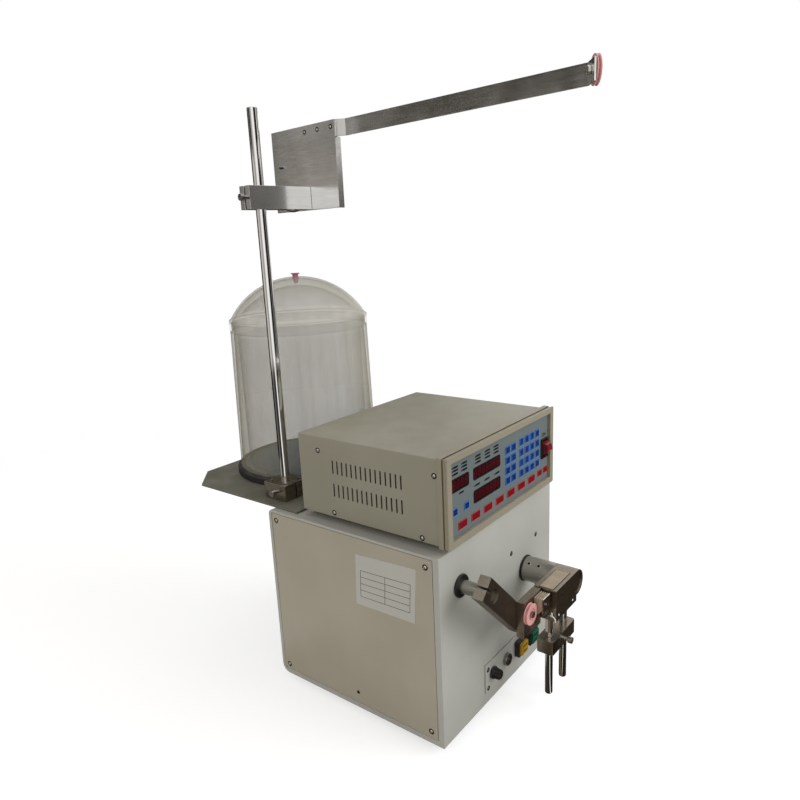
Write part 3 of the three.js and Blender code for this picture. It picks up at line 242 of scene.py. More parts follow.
class SharedShading:
    """The effects that several finishes use, each one node group with named inputs and outputs."""

    STREAK_RANGE = (0.35, 0.65)
    FINE_SHARE = 0.8
    BROAD_SCALE = 0.12
    BEVEL_SAMPLES = 4
    EDGE_RANGE = (0.99, 0.8)
    PATCH_SCALE = 140.0
    PATCH_RANGE = (0.3, 0.6)
    DUST_TILT = (0.4, 1.0)
    DUST_RANGE = (0.35, 0.75)

    def __init__(self) -> None:
        """Builds every group once."""
        self.grain = self._grain()
        self.cloud = self._cloud()
        self.brushing = self._brushing()
        self.wear_and_highlight = self._wear_and_highlight()
        self.dust = self._dust()

    @staticmethod
    def _start(
        name: str, inputs: dict[str, Feed], outputs: Sequence[str]
    ) -> tuple[Graph, Socket, dict[str, Socket], dict[str, Socket]]:
        """Makes an empty group with its sockets.

        Args:
            name: the group's name.
            inputs: each input's name and usual value. A tuple makes a vector input.
            outputs: the names of the outputs.

        Returns:
            The graph, the object coordinates, the inputs by name and the output sockets by name.
        """
        tree = bpy.data.node_groups.new(name, "ShaderNodeTree")
        for label, usual in inputs.items():
            kind = "NodeSocketVector" if isinstance(usual, tuple) else "NodeSocketFloat"
            tree.interface.new_socket(name=label, in_out="INPUT", socket_type=kind).default_value = usual
        for label in outputs:
            tree.interface.new_socket(name=label, in_out="OUTPUT", socket_type="NodeSocketFloat")
        graph = Graph(tree)
        entry = graph.node("NodeGroupInput")
        leave = graph.node("NodeGroupOutput")
        return graph, graph.coordinates(), dict(entry.outputs.items()), dict(leave.inputs.items())

    def _grain(self) -> bpy.types.NodeTree:
        """Returns the fine texture of sprayed paint or moulded plastic, as a height."""
        inputs = {"Scale": 900.0, "Roughness": 0.5}
        graph, where, given, out = self._start("surface_grain", inputs, ["Height"])
        graph.feed(out["Height"], graph.noise(where, given["Scale"], 2.0, Roughness=given["Roughness"]))
        return graph.tree

    def _cloud(self) -> bpy.types.NodeTree:
        """Returns slow, soft changes over a surface, as a mask from nothing to one."""
        graph, where, given, out = self._start("soft_cloud", {"Scale": 8.0, "Contrast": 0.2}, ["Mask"])
        noise = graph.noise(where, given["Scale"], 3.0)
        low = graph.maths("SUBTRACT", 0.5, given["Contrast"])
        high = graph.maths("ADD", 0.5, given["Contrast"])
        graph.feed(out["Mask"], graph.ramp(noise, low, high))
        return graph.tree

    def _brushing(self) -> bpy.types.NodeTree:
        """Returns the drawn lines of brushed or ground metal, as a streak mask and a height."""
        inputs = {"Stretch": (1.0, 1.0, 0.03), "Turn": 0.0, "Scale": 700.0}
        graph, where, given, out = self._start("brushing", inputs, ["Streak", "Height"])
        feeds = {"Vector": where, "Angle": given["Turn"]}
        spun = graph.first("ShaderNodeVectorRotate", feeds, rotation_type="Z_AXIS")
        drawn = graph.first("ShaderNodeVectorMath", {0: spun, 1: given["Stretch"]}, operation="MULTIPLY")
        fine = graph.noise(drawn, given["Scale"], 2.0)
        broad = graph.noise(drawn, graph.times(given["Scale"], self.BROAD_SCALE), 1.0)
        both = graph.maths("ADD", graph.times(fine, self.FINE_SHARE), graph.times(broad, 1 - self.FINE_SHARE))
        graph.feed(out["Streak"], graph.ramp(both, *self.STREAK_RANGE))
        graph.feed(out["Height"], fine)
        return graph.tree

    def _wear_and_highlight(self) -> bpy.types.NodeTree:
        """Returns a mask of the edges, broken up by noise, where rubbed wear and a painted highlight lighten
        a finish.
        """
        graph, where, given, out = self._start("edge_wear", {"Radius": 0.001, "Amount": 1.0}, ["Mask"])
        round_normal = graph.first("ShaderNodeBevel", {"Radius": given["Radius"]}, samples=self.BEVEL_SAMPLES)
        flat_normal = graph.node("ShaderNodeNewGeometry").outputs["Normal"]
        alike = graph.node("ShaderNodeVectorMath", {0: round_normal, 1: flat_normal}, operation="DOT_PRODUCT")
        edge = graph.ramp(alike.outputs["Value"], *self.EDGE_RANGE)
        patchy = graph.ramp(graph.noise(where, self.PATCH_SCALE, 2.0), *self.PATCH_RANGE)
        graph.feed(out["Mask"], graph.times(graph.times(edge, patchy), given["Amount"], clamp=True))
        return graph.tree

    def _dust(self) -> bpy.types.NodeTree:
        """Returns a mask of the thin dust that settles on faces that look up."""
        graph, where, given, out = self._start("settled_dust", {"Scale": 30.0, "Amount": 0.3}, ["Mask"])
        normal = graph.node("ShaderNodeNewGeometry").outputs["Normal"]
        up = graph.node("ShaderNodeSeparateXYZ", {0: normal}).outputs["Z"]
        patches = graph.ramp(graph.noise(where, given["Scale"], 4.0), *self.DUST_RANGE)
        lying = graph.times(graph.ramp(up, *self.DUST_TILT), patches)
        graph.feed(out["Mask"], graph.times(lying, given["Amount"], clamp=True))
        return graph.tree


@dataclass(frozen=True)
class Finish:
    """What every finish has: a name, its slot in the record, and a shader with one Principled surface."""

    name: str
    slot: str

    def material(self, shared: SharedShading) -> bpy.types.Material:
        """Builds the finish's material.

        Args:
            shared: the node groups that finishes share.

        Returns:
            The material.
        """
        made = bpy.data.materials.new(self.name)
        graph = Graph.cleared(made)
        surface = graph.node("ShaderNodeBsdfPrincipled")
        graph.node("ShaderNodeOutputMaterial", {"Surface": surface.outputs[0]})
        graph.feed_all(surface, self.feeds(graph, shared))
        return made

    def feeds(self, graph: Graph, shared: SharedShading) -> dict[str, Feed]:
        """Returns what goes into the surface's inputs, by name. Each kind of finish has its own."""
        raise NotImplementedError

    @staticmethod
    def bump(graph: Graph, height: Socket, strength: float, depth: float) -> Socket:
        """Returns the normal of a surface raised by a height, in metres at full strength."""
        return graph.first("ShaderNodeBump", {"Strength": strength, "Distance": depth, "Height": height})


@dataclass(frozen=True)
class Coat(Finish):
    """Sprayed paint, moulded plastic or rubber: a grain, soft colour changes, edges lightened by rubbed wear
    and a painted highlight, and some dust.
    """

    colour: Colour
    # The edge colour: rubbed wear, and a painted highlight along the edges.
    worn_and_lit: Colour
    dusty: Colour = (0.5, 0.48, 0.44)
    roughness: float = 0.45
    roughness_spread: float = 0.04
    dust_roughness: float = 0.3
    specular: float = 0.5
    grain_scale: float = 900.0
    grain_depth: float = 0.00005
    grain_strength: float = 0.25
    cloud_scale: float = 7.0
    cloud_spread: float = 0.06
    wear_and_highlight: float = 0.35
    wear_and_highlight_radius: float = 0.0009
    dust: float = 0.15

    def feeds(self, graph: Graph, shared: SharedShading) -> dict[str, Feed]:
        """Returns the coat's colour, roughness and grain."""
        cloud = graph.group(shared.cloud, "Mask", Scale=self.cloud_scale)
        dark, light = scaled(self.colour, 1 - self.cloud_spread), scaled(self.colour, 1 + self.cloud_spread)
        worn_and_lit = graph.group(shared.wear_and_highlight, "Mask", Radius=self.wear_and_highlight_radius, Amount=self.wear_and_highlight)
        dusty = graph.group(shared.dust, "Mask", Amount=self.dust)
        colour = graph.blend(worn_and_lit, graph.blend(cloud, dark, light), self.worn_and_lit)
        low, high = self.roughness - self.roughness_spread, self.roughness + self.roughness_spread
        soft = graph.ramp(cloud, 0.0, 1.0, low, high)
        height = graph.group(shared.grain, "Height", Scale=self.grain_scale)
        return {
            "Base Color": graph.blend(dusty, colour, self.dusty),
            "Roughness": graph.maths("ADD", soft, graph.times(dusty, self.dust_roughness)),
            "Specular IOR Level": self.specular,
            "Normal": self.bump(graph, height, self.grain_strength, self.grain_depth),
        }


@dataclass(frozen=True)
class Metal(Finish):
    """Bare or plated metal: drawn lines along one way, smudges, and brighter edges of rubbed wear and a
    painted highlight.
    """

    colour: Colour
    dull: Colour
    # The edge colour: rubbed wear, and a painted highlight along the edges.
    edge: Colour = (0.85, 0.85, 0.83)
    roughness: float = 0.25
    streak_roughness: float = 0.1
    brush: Brush = Brush.NONE
    turn: float = 0.0
    line_scale: float = 700.0
    line_depth: float = 0.00002
    line_strength: float = 0.35
    smudge_scale: float = 28.0
    smudge_contrast: float = 0.16
    smudge_share: float = 0.25
    smudge_roughness: float = 0.05
    wear_and_highlight: float = 0.6
    wear_and_highlight_radius: float = 0.0006

    def feeds(self, graph: Graph, shared: SharedShading) -> dict[str, Feed]:
        """Returns the metal's colour, lines and smudges."""
        lines = {"Stretch": self.brush.value, "Turn": self.turn, "Scale": self.line_scale}
        streak = graph.group(shared.brushing, "Streak", **lines)
        smudge = graph.group(shared.cloud, "Mask", Scale=self.smudge_scale, Contrast=self.smudge_contrast)
        worn_and_lit = graph.group(shared.wear_and_highlight, "Mask", Radius=self.wear_and_highlight_radius, Amount=self.wear_and_highlight)
        colour = graph.blend(streak, self.dull, self.colour)
        colour = graph.blend(graph.times(smudge, self.smudge_share), colour, self.dull)
        rough = graph.ramp(streak, 0.0, 1.0, self.roughness + self.streak_roughness, self.roughness)
        height = graph.group(shared.brushing, "Height", **lines)
        return {
            "Base Color": graph.blend(worn_and_lit, colour, self.edge),
            "Roughness": graph.maths("ADD", rough, graph.times(smudge, self.smudge_roughness)),
            "Metallic": 1.0,
            "Normal": self.bump(graph, height, self.line_strength, self.line_depth),
        }


@dataclass(frozen=True)
class Glaze(Finish):
    """Polished ceramic or a coloured lens: smooth, glossy and faintly cloudy under its surface."""

    colour: Colour
    deep: Colour
    roughness: float = 0.12
    roughness_spread: float = 0.08
    coat: float = 0.5
    specular: float = 0.5
    subsurface: float = 0.1
    subsurface_depth: float = 0.002
    cloud_scale: float = 60.0
    cloud_contrast: float = 0.25
    # The edges are lightened: rubbed wear, and a painted highlight.
    wear_and_highlight: float = 0.4
    wear_and_highlight_radius: float = 0.0008
    worn_and_lit_light: float = 1.25
    grain_scale: float = 350.0
    grain_depth: float = 0.00005
    grain_strength: float = 0.08

    def feeds(self, graph: Graph, shared: SharedShading) -> dict[str, Feed]:
        """Returns the glaze's colour and gloss."""
        cloud = graph.group(shared.cloud, "Mask", Scale=self.cloud_scale, Contrast=self.cloud_contrast)
        worn_and_lit = graph.group(shared.wear_and_highlight, "Mask", Radius=self.wear_and_highlight_radius, Amount=self.wear_and_highlight)
        colour = graph.blend(cloud, self.deep, self.colour)
        height = graph.group(shared.grain, "Height", Scale=self.grain_scale)
        return {
            "Base Color": graph.blend(worn_and_lit, colour, scaled(self.colour, self.worn_and_lit_light)),
            "Roughness": graph.ramp(cloud, 0.0, 1.0, self.roughness, self.roughness + self.roughness_spread),
            "Coat Weight": self.coat,
            "Coat Roughness": self.roughness / 2,
            "Specular IOR Level": self.specular,
            "Subsurface Weight": self.subsurface,
            "Subsurface Scale": self.subsurface_depth,
            "Normal": self.bump(graph, height, self.grain_strength, self.grain_depth),
        }


@dataclass(frozen=True)
class Clear(Finish):
    """Clear moulded plastic, a little smoky, with moulding streaks, and denser where it is seen edge on."""

    colour: Colour
    density: float
    edge_density: float
    roughness: float = 0.12
    roughness_spread: float = 0.08
    specular: float = 0.06
    thin_below: float = 0.0
    thin_share: float = 0.2
    thin_blend: float = 0.002
    haze_scale: float = 9.0
    haze_contrast: float = 0.25
    haze_light: float = 1.35
    streak_scale: float = 60.0
    streak_spread: float = 0.08
    rim_blend: float = 0.35
    rim_power: float = 2.6
    wave_scale: float = 40.0
    wave_depth: float = 0.0004
    wave_strength: float = 0.1

    def feeds(self, graph: Graph, shared: SharedShading) -> dict[str, Feed]:
        """Returns the plastic's tint, streaks and see-through share."""
        streak = graph.group(shared.brushing, "Streak", Stretch=Brush.ALONG_Z.value, Scale=self.streak_scale)
        haze = graph.group(shared.cloud, "Mask", Scale=self.haze_scale, Contrast=self.haze_contrast)
        facing = graph.node("ShaderNodeLayerWeight", {"Blend": self.rim_blend}).outputs["Facing"]
        rim = graph.maths("POWER", facing, self.rim_power)
        low, high = self.density * (1 - self.streak_spread), self.density * (1 + self.streak_spread)
        share = graph.ramp(rim, 0.0, 1.0, graph.ramp(streak, 0.0, 1.0, low, high), self.edge_density)
        if self.thin_below:
            height = graph.node("ShaderNodeSeparateXYZ", {0: graph.coordinates()}).outputs["Z"]
            start = self.thin_below - self.thin_blend
            share = graph.times(share, graph.ramp(height, start, self.thin_below, self.thin_share, 1.0))
        wave = graph.group(shared.grain, "Height", Scale=self.wave_scale)
        return {
            "Base Color": graph.blend(haze, self.colour, scaled(self.colour, self.haze_light)),
            "Alpha": share,
            "Roughness": graph.ramp(haze, 0.0, 1.0, self.roughness, self.roughness + self.roughness_spread),
            "Specular IOR Level": self.specular,
            "Normal": self.bump(graph, wave, self.wave_strength, self.wave_depth),
        }


@dataclass(frozen=True)
class Felt(Finish):
    """Pressed felt: short tangled fibres in several shades, with a soft sheen."""

    colour: Colour
    pale: Colour
    fibre_scale: float = 600.0
    fibre_detail: float = 5.0
    fibre_roughness: float = 0.7
    fibre_twist: float = 1.5
    fibre_depth: float = 0.0006
    fibre_strength: float = 0.6
    pale_range: Flat = (0.35, 0.7)
    rough_range: Flat = (0.3, 0.7)
    roughness: Flat = (0.9, 1.0)
    cloud_scale: float = 25.0
    cloud_share: float = 0.3
    sheen: float = 0.25

    def feeds(self, graph: Graph, shared: SharedShading) -> dict[str, Feed]:
        """Returns the felt's fibres and sheen."""
        feeds = {"Roughness": self.fibre_roughness, "Distortion": self.fibre_twist}
        fibres = graph.noise(graph.coordinates(), self.fibre_scale, self.fibre_detail, **feeds)
        cloud = graph.group(shared.cloud, "Mask", Scale=self.cloud_scale)
        colour = graph.blend(graph.ramp(fibres, *self.pale_range), self.colour, self.pale)
        return {
            "Base Color": graph.blend(graph.times(cloud, self.cloud_share), colour, self.colour),
            "Roughness": graph.ramp(fibres, *self.rough_range, *self.roughness),
            "Sheen Weight": self.sheen,
            "Normal": self.bump(graph, fibres, self.fibre_strength, self.fibre_depth),
        }


class Palette:
    """All finishes of the machine, each material built the first time that it is asked for."""

    CABINET = Coat("cabinet paint", "cabinet_paint", srgb(168, 167, 159), srgb(200, 199, 192))
    # Warmer than the cabinet's paint: partly the covers' own colour, partly painted warm light from the left.
    SIDE = Coat("side cover paint", "panel_paint", srgb(164, 157, 141), srgb(192, 186, 172))
    CASE = Coat("control box paint", "case_paint", srgb(138, 134, 119), srgb(166, 162, 147))
    PLATE = Coat("base plate paint", "plate_paint", srgb(101, 100, 87), srgb(130, 128, 116))
    BEZEL = Coat(
        "bezel plastic", "bezel_plastic", srgb(139, 131, 113), srgb(176, 168, 150), grain_scale=1600.0
    )
    MEMBRANE = Coat(
        "key panel film", "membrane", srgb(100, 109, 108), srgb(126, 134, 132), grain_depth=0.00002
    )
    BLUE_KEY = Coat(
        "blue keys", "membrane", srgb(17, 58, 124), srgb(40, 84, 152),
        specular=0.25, grain_depth=0.00002, wear_and_highlight=0.15,
    )
    RED_KEY = Coat(
        "red keys", "membrane", srgb(114, 5, 13), srgb(140, 26, 34),
        specular=0.25, grain_depth=0.00002, wear_and_highlight=0.15,
    )
    # Pale outlines that paint the highlight on the raised edges of the keys.
    BLUE_KEY_HIGHLIGHT = Coat("blue key outline", "membrane", srgb(72, 130, 204), srgb(110, 158, 218), wear_and_highlight=0.1)
    RED_KEY_HIGHLIGHT = Coat("red key outline", "membrane", srgb(186, 70, 78), srgb(204, 108, 114), wear_and_highlight=0.1)
    PRINT = Coat(
        "dark print", "membrane", srgb(20, 22, 26), srgb(40, 42, 44), specular=0.2, wear_and_highlight=0.0, dust=0.0
    )
    # Black plastic parts; the same black also paints shade in a gap, in set screw holes and behind the vents.
    BLACK = Coat(
        "black plastic", "black_plastic", srgb(26, 25, 25), srgb(70, 68, 66), roughness=0.38, dust=0.06
    )
    RUBBER = Coat("rubber", "rubber", srgb(32, 31, 30), srgb(64, 62, 60), roughness=0.7, dust=0.12)
    # Dark brown strips that paint the shade in the bezel's groove.
    GROOVE_SHADE = Coat("bezel seal", "rubber", srgb(72, 65, 52), srgb(96, 89, 76), roughness=0.7, dust=0.1)
    KHAKI = Coat(
        "khaki board", "khaki", srgb(158, 143, 120), srgb(186, 172, 148),
        roughness=0.55, grain_scale=1400.0, grain_depth=0.0001, cloud_scale=60.0, cloud_spread=0.12,
    )
    PAPER = Coat(
        "label paper", "panel_paint", srgb(178, 176, 169), srgb(196, 194, 188),
        roughness=0.5, grain_depth=0.00002, cloud_spread=0.02, wear_and_highlight=0.1, dust=0.0,
    )
    # Near black: it paints the shade in holes and the dark ring round screw heads.
    SHADE_BLACK = Coat(
        "dark hollow", "chrome", srgb(14, 13, 12), srgb(30, 29, 27), roughness=0.8, specular=0.1, dust=0.0
    )
    # Near white and not metal: it paints the glint on small chrome parts, set screw heads and hole rims.
    GLINT_WHITE = Coat(
        "bright plating", "chrome", srgb(206, 205, 200), srgb(230, 230, 226),
        roughness=0.2, specular=0.9, grain_depth=0.00001, cloud_scale=200.0, cloud_spread=0.12, dust=0.0,
    )
    CHROME = Metal(
        "hard chrome", "chrome", (0.9, 0.89, 0.88), (0.78, 0.77, 0.75),
        roughness=0.045, streak_roughness=0.02, brush=Brush.ALONG_Z, line_strength=0.04, wear_and_highlight=0.2,
    )
    STEEL = Metal(
        "brushed steel", "steel", (0.79, 0.775, 0.75), (0.7, 0.685, 0.66),
        roughness=0.15, streak_roughness=0.06, brush=Brush.ALONG_Y, turn=0.1129, line_scale=1100.0,
    )
    STEEL_BAR = Metal(
        "steel brushed across", "steel", (0.86, 0.86, 0.85), (0.76, 0.76, 0.75),
        roughness=0.09, streak_roughness=0.05, brush=Brush.ALONG_X, turn=0.1129, line_scale=1100.0,
    )
    NICKEL = Metal(
        "ground nickel", "nickel", (0.36, 0.32, 0.27), (0.29, 0.25, 0.2), (0.6, 0.56, 0.5),
        roughness=0.22, brush=Brush.ALONG_X, line_scale=1100.0, line_strength=0.15,
    )
    NICKEL_DULL = Metal(
        "dull nickel", "nickel", (0.34, 0.3, 0.25), (0.27, 0.23, 0.18), (0.6, 0.56, 0.5),
        roughness=0.42, brush=Brush.ALONG_X, line_scale=1100.0, line_strength=0.15,
    )
    NICKEL_TURNED = Metal(
        "turned nickel", "nickel", (0.44, 0.42, 0.38), (0.36, 0.34, 0.3), (0.65, 0.62, 0.58),
        roughness=0.24, brush=Brush.ALONG_Y, line_scale=1100.0, line_strength=0.15,
    )
    SCREW = Metal(
        "screw plating", "chrome", (0.7, 0.68, 0.63), (0.5, 0.48, 0.44), roughness=0.2, line_strength=0.1
    )
    DARK_CHROME = Metal(
        "dark chrome", "chrome", (0.4, 0.38, 0.35), (0.28, 0.26, 0.24), roughness=0.16, line_strength=0.1
    )
    PINK = Glaze("pink ceramic", "ceramic", srgb(222, 164, 160), srgb(200, 136, 132), subsurface=0.0)
    MAGENTA = Glaze("eyelet ceramic", "ceramic", srgb(190, 92, 142), srgb(166, 70, 120))
    RED = Glaze(
        "red rocker plastic", "red_plastic", srgb(118, 14, 20), srgb(98, 10, 15), coat=0.2, subsurface=0.0
    )
    YELLOW = Glaze("yellow lens", "yellow_plastic", srgb(186, 146, 34), srgb(160, 120, 20), coat=0.3)
    GREEN = Glaze("green lens", "green_plastic", srgb(12, 92, 68), srgb(7, 70, 52), coat=0.3)
    WINDOW = Glaze(
        "red window", "display", srgb(44, 10, 14), srgb(34, 7, 10), roughness=0.3, coat=0.0, specular=0.15
    )
    SEGMENT = Glaze(
        "unlit segment", "display", srgb(96, 24, 28), srgb(80, 18, 22), roughness=0.3, coat=0.0, specular=0.15
    )
    CLEAR = Clear("clear tank plastic", "tank_plastic", (0.275, 0.25, 0.185), 0.27, 0.8)
    LID_CLEAR = Clear(
        "clear lid plastic", "tank_plastic", (0.35, 0.322, 0.25), 0.25, 0.62,
        thin_below=0.5985, thin_share=0.3,
    )
    LINER = Clear("clear inner sleeve", "tank_plastic", (0.24, 0.21, 0.14), 0.03, 0.3, roughness=0.2)
    FELT = Felt("slate felt", "felt", (0.08, 0.13, 0.17), (0.16, 0.24, 0.3))

    def __init__(self) -> None:
        """Builds the shared groups."""
        self.shared = SharedShading()
        self.made: dict[str, bpy.types.Material] = {}

    def get(self, finish: Finish) -> bpy.types.Material:
        """Returns a finish's material, built once."""
        if finish.name not in self.made:
            self.made[finish.name] = finish.material(self.shared)
        return self.made[finish.name]


@dataclass(frozen=True)
class Fastener:
    """A screw head with its recess, and the washer under it, near black by default to paint the shade round
    the head. Sizes in millimetres.
    """

    radius: float = 3.4
    height: float = 2.2
    drive: Drive = Drive.CROSS
    recess_radius: float = 1.9
    recess_depth: float = 1.3
    cross_width: float = 0.7
    washer_radius: float = 4.2
    washer_height: float = 0.6
    finish: Finish = Palette.SCREW
    # Near black by default: the washer paints the shade round the head.
    washer_finish: Finish = Palette.SHADE_BLACK


class GrowingTree:
    """A geometry tree that puts a shape on every point of a mesh."""

    def __init__(self, name: str, inputs: dict[str, str]) -> None:
        """Starts the tree.

        Args:
            name: the tree's name.
            inputs: the name and the kind of each input beside the points.
        """
        self.tree = bpy.data.node_groups.new(name, "GeometryNodeTree")
        for label, kind in {"Geometry": "Geometry", **inputs}.items():
            self.tree.interface.new_socket(name=label, in_out="INPUT", socket_type=f"NodeSocket{kind}")
        self.tree.interface.new_socket(name="Geometry", in_out="OUTPUT", socket_type="NodeSocketGeometry")
        self.graph = Graph(self.tree)
        self.given = dict(self.graph.node("NodeGroupInput").outputs.items())

    def place(self, shape: Socket, rotation: Socket, material: Socket) -> Socket:
        """Puts the shape on the points as real faces with a material, and returns the result."""
        feeds = {"Points": self.given["Geometry"], "Instance": shape, "Rotation": rotation}
        placed = self.graph.first("GeometryNodeInstanceOnPoints", feeds)
        return self.coat(self.graph.first("GeometryNodeRealizeInstances", {"Geometry": placed}), material)

    def coat(self, geometry: Socket, material: Socket, where: Feed = True) -> Socket:
        """Gives a geometry a material where it is wanted, and returns the result."""
        feeds = {"Geometry": geometry, "Selection": where, "Material": material}
        return self.graph.first("GeometryNodeSetMaterial", feeds)

    def turn(self, axis: Place, angle: Socket) -> Socket:
        """Returns a rotation about an axis."""
        return self.graph.first("FunctionNodeAxisAngleToRotation", {"Axis": axis, "Angle": angle})

    def mark(self, name: str, kind: str) -> Socket:
        """Returns a named attribute."""
        return self.graph.first("GeometryNodeInputNamedAttribute", {"Name": name}, data_type=kind)

    def moved(self, shape: Socket, **feeds: Feed) -> Socket:
        """Moves or scales a shape and returns it."""
        return self.graph.first("GeometryNodeTransform", {"Geometry": shape, **feeds})


class FastenerTree(GrowingTree):
    """Puts a screw head, turned at random about its own axis, on every point."""

    SIZES = {
        "Head Radius": "radius",
        "Head Height": "height",
        "Recess Radius": "recess_radius",
        "Recess Depth": "recess_depth",
        "Cross Width": "cross_width",
        "Washer Radius": "washer_radius",
        "Washer Height": "washer_height",
    }
    SEGMENTS = 28
    RINGS = 15
    WASHER_MARK = "washer"
    WELD = 0.000012
    # The second bar of a cross is cut a little deeper, so that the bars' floors aren't in one plane.
    SECOND_BAR = 1.04
    # How a unit block is moved to have its top at the head's foot.
    BLOCK_DROP = (0.0, 0.0, -0.5)

    def __init__(self, drive: Drive) -> None:
        """Writes the nodes: head, recess, washer, and their copies on the points.

        Args:
            drive: the recess that the heads have.
        """
        inputs = {
            **dict.fromkeys(self.SIZES, "Float"),
            "Facing": "Vector",
            "Seed": "Int",
            "Head Material": "Material",
            "Washer Material": "Material",
        }
        super().__init__(f"fasteners_{drive.value}", inputs)
        graph, given = self.graph, self.given
        both = graph.node("GeometryNodeJoinGeometry")
        for part in (self._head(drive), self._washer()):
            self.tree.links.new(part, both.inputs[0])
        align = graph.first("FunctionNodeAlignRotationToVector", {"Vector": given["Facing"]}, axis="Z")
        feeds = {"Max": math.tau, "Seed": given["Seed"]}
        drawn = graph.node("FunctionNodeRandomValue", feeds, data_type="FLOAT")
        angle = next(socket for socket in drawn.outputs if socket.type == "VALUE" and socket.enabled)
        feeds = {"Rotation": align, "Rotate By": self.turn(Axis.UP.value, angle)}
        rotation = graph.first("FunctionNodeRotateRotation", feeds, rotation_space="LOCAL")
        real = self.place(both.outputs[0], rotation, given["Head Material"])
        marked = self.mark(self.WASHER_MARK, "BOOLEAN")
        graph.node("NodeGroupOutput", {0: self.coat(real, given["Washer Material"], marked)})

    def _head(self, drive: Drive) -> Socket:
        """Returns the domed head, cut off below and with its recess."""
        graph, given = self.graph, self.given
        size = graph.vector(given["Head Radius"], given["Head Radius"], given["Head Height"])
        feeds = {"Segments": self.SEGMENTS, "Rings": self.RINGS, "Radius": 1.0}
        dome = self.moved(graph.first("GeometryNodeMeshUVSphere", feeds), Scale=size)
        block = graph.first("GeometryNodeMeshCube", {"Size": (1.0, 1.0, 1.0)})
        cutters = [self.moved(block, Translation=self.BLOCK_DROP), *self._recess(drive)]
        cut = graph.node("GeometryNodeMeshBoolean", {"Mesh 1": dome}, operation="DIFFERENCE", solver="EXACT")
        for cutter in cutters:
            self.tree.links.new(cutter, cut.inputs["Mesh 2"])
        feeds = {"Geometry": cut.outputs[0], "Distance": self.WELD}
        welded = graph.first("GeometryNodeMergeByDistance", feeds)
        return graph.first("GeometryNodeSetShadeSmooth", {"Geometry": welded, "Shade Smooth": False})

    def _washer(self) -> Socket:
        """Returns the washer, its faces marked."""
        graph, given = self.graph, self.given
        feeds = {"Vertices": self.SEGMENTS, "Radius": given["Washer Radius"], "Depth": given["Washer Height"]}
        washer = graph.first("GeometryNodeMeshCylinder", feeds)
        feeds = {"Geometry": washer, "Name": self.WASHER_MARK, "Value": True}
        return graph.first("GeometryNodeStoreNamedAttribute", feeds, data_type="BOOLEAN", domain="FACE")

    def _recess(self, drive: Drive) -> list[Socket]:
        """Returns the shapes that cut the recess: a hexagon, or two crossed bars of unequal depth."""
        graph, given = self.graph, self.given
        depth = graph.times(given["Recess Depth"], 2.0)
        if drive is Drive.HEX:
            feeds = {"Vertices": 6, "Radius": given["Recess Radius"], "Depth": depth}
            shapes = [graph.first("GeometryNodeMeshCylinder", feeds)]
        else:
            length, width = graph.times(given["Recess Radius"], 2.0), given["Cross Width"]
            spans = [(length, width, depth), (width, length, graph.times(depth, self.SECOND_BAR))]
            shapes = [graph.first("GeometryNodeMeshCube", {"Size": graph.vector(*span)}) for span in spans]
        lift = graph.vector(0.0, 0.0, given["Head Height"])
        return [self.moved(shape, Translation=lift) for shape in shapes]


class StampTree(GrowingTree):
    """Puts a flat stamped shape, turned by each point's own angle, on every point."""

    TURN_MARK = "turn"

    def __init__(self) -> None:
        """Writes the nodes."""
        super().__init__("stamps", {"Shape": "Object", "Material": "Material"})
        shape = self.graph.node("GeometryNodeObjectInfo", {"Object": self.given["Shape"]}).outputs["Geometry"]
        turn = self.turn(Axis.FRONT.value, self.mark(self.TURN_MARK, "FLOAT"))
        self.graph.node("NodeGroupOutput", {0: self.place(shape, turn, self.given["Material"])})


def linked(name: str, data: bpy.types.ID) -> bpy.types.Object:
    """Makes an object from its data and links it to the scene."""
    made = bpy.data.objects.new(name, data)
    bpy.context.scene.collection.objects.link(made)
    return made


def evaluated(holder: bpy.types.Object) -> bpy.types.Mesh:
    """Returns the mesh that an object's modifiers make, and removes the object."""
    graph = bpy.context.evaluated_depsgraph_get()
    graph.update()
    mesh = bpy.data.meshes.new_from_object(holder.evaluated_get(graph))
    holder.modifiers.clear()
    bpy.data.objects.remove(holder)
    return mesh


def smoothed(mesh: bpy.types.Mesh) -> bpy.types.Mesh:
    """Shades a mesh smooth but for its sharp edges, and returns it."""
    mesh.shade_smooth()
    mesh.set_sharp_from_angle(angle=SMOOTH_ANGLE)
    return mesh


def taken_from(shape: bmesh.types.BMesh, mesh: bpy.types.Mesh) -> bpy.types.Mesh:
    """Writes an edited shape into a mesh, frees it and returns the mesh."""
    shape.to_mesh(mesh)
    shape.free()
    return mesh


def closed_mesh(points: Iterable[Sequence[float]], faces: Sequence[tuple[int, ...]]) -> bpy.types.Mesh:
    """Makes a mesh from its points, in metres, and its faces, all of them turned to the outside."""
    mesh = bpy.data.meshes.new("solid")
    mesh.from_pydata([tuple(point) for point in points], [], faces)
    shape = bmesh.new()
    shape.from_mesh(mesh)
    bmesh.ops.recalc_face_normals(shape, faces=shape.faces)
    return taken_from(shape, mesh)


def joined_mesh(meshes: Iterable[bpy.types.Mesh]) -> bpy.types.Mesh:
    """Joins meshes that are in place into one."""
    joined = bmesh.new()
    for mesh in meshes:
        joined.from_mesh(mesh)
    return taken_from(joined, bpy.data.meshes.new("joined"))


def rounded_edges(mesh: bpy.types.Mesh, edge: float, steps: int = 2) -> bpy.types.Mesh:
    """Rounds the sharp edges of a mesh by so many millimetres, its flat faces kept flat, and returns it."""
    holder = linked("rounding", mesh)
    bevel = holder.modifiers.new("edges", "BEVEL")
    bevel.width = edge * MM
    bevel.segments = steps
    bevel.limit_method = "ANGLE"
    bevel.angle_limit = SMOOTH_ANGLE
    bevel.harden_normals = True
    bevel.use_clamp_overlap = False
    bevel.miter_outer = "MITER_ARC"
    return evaluated(holder)


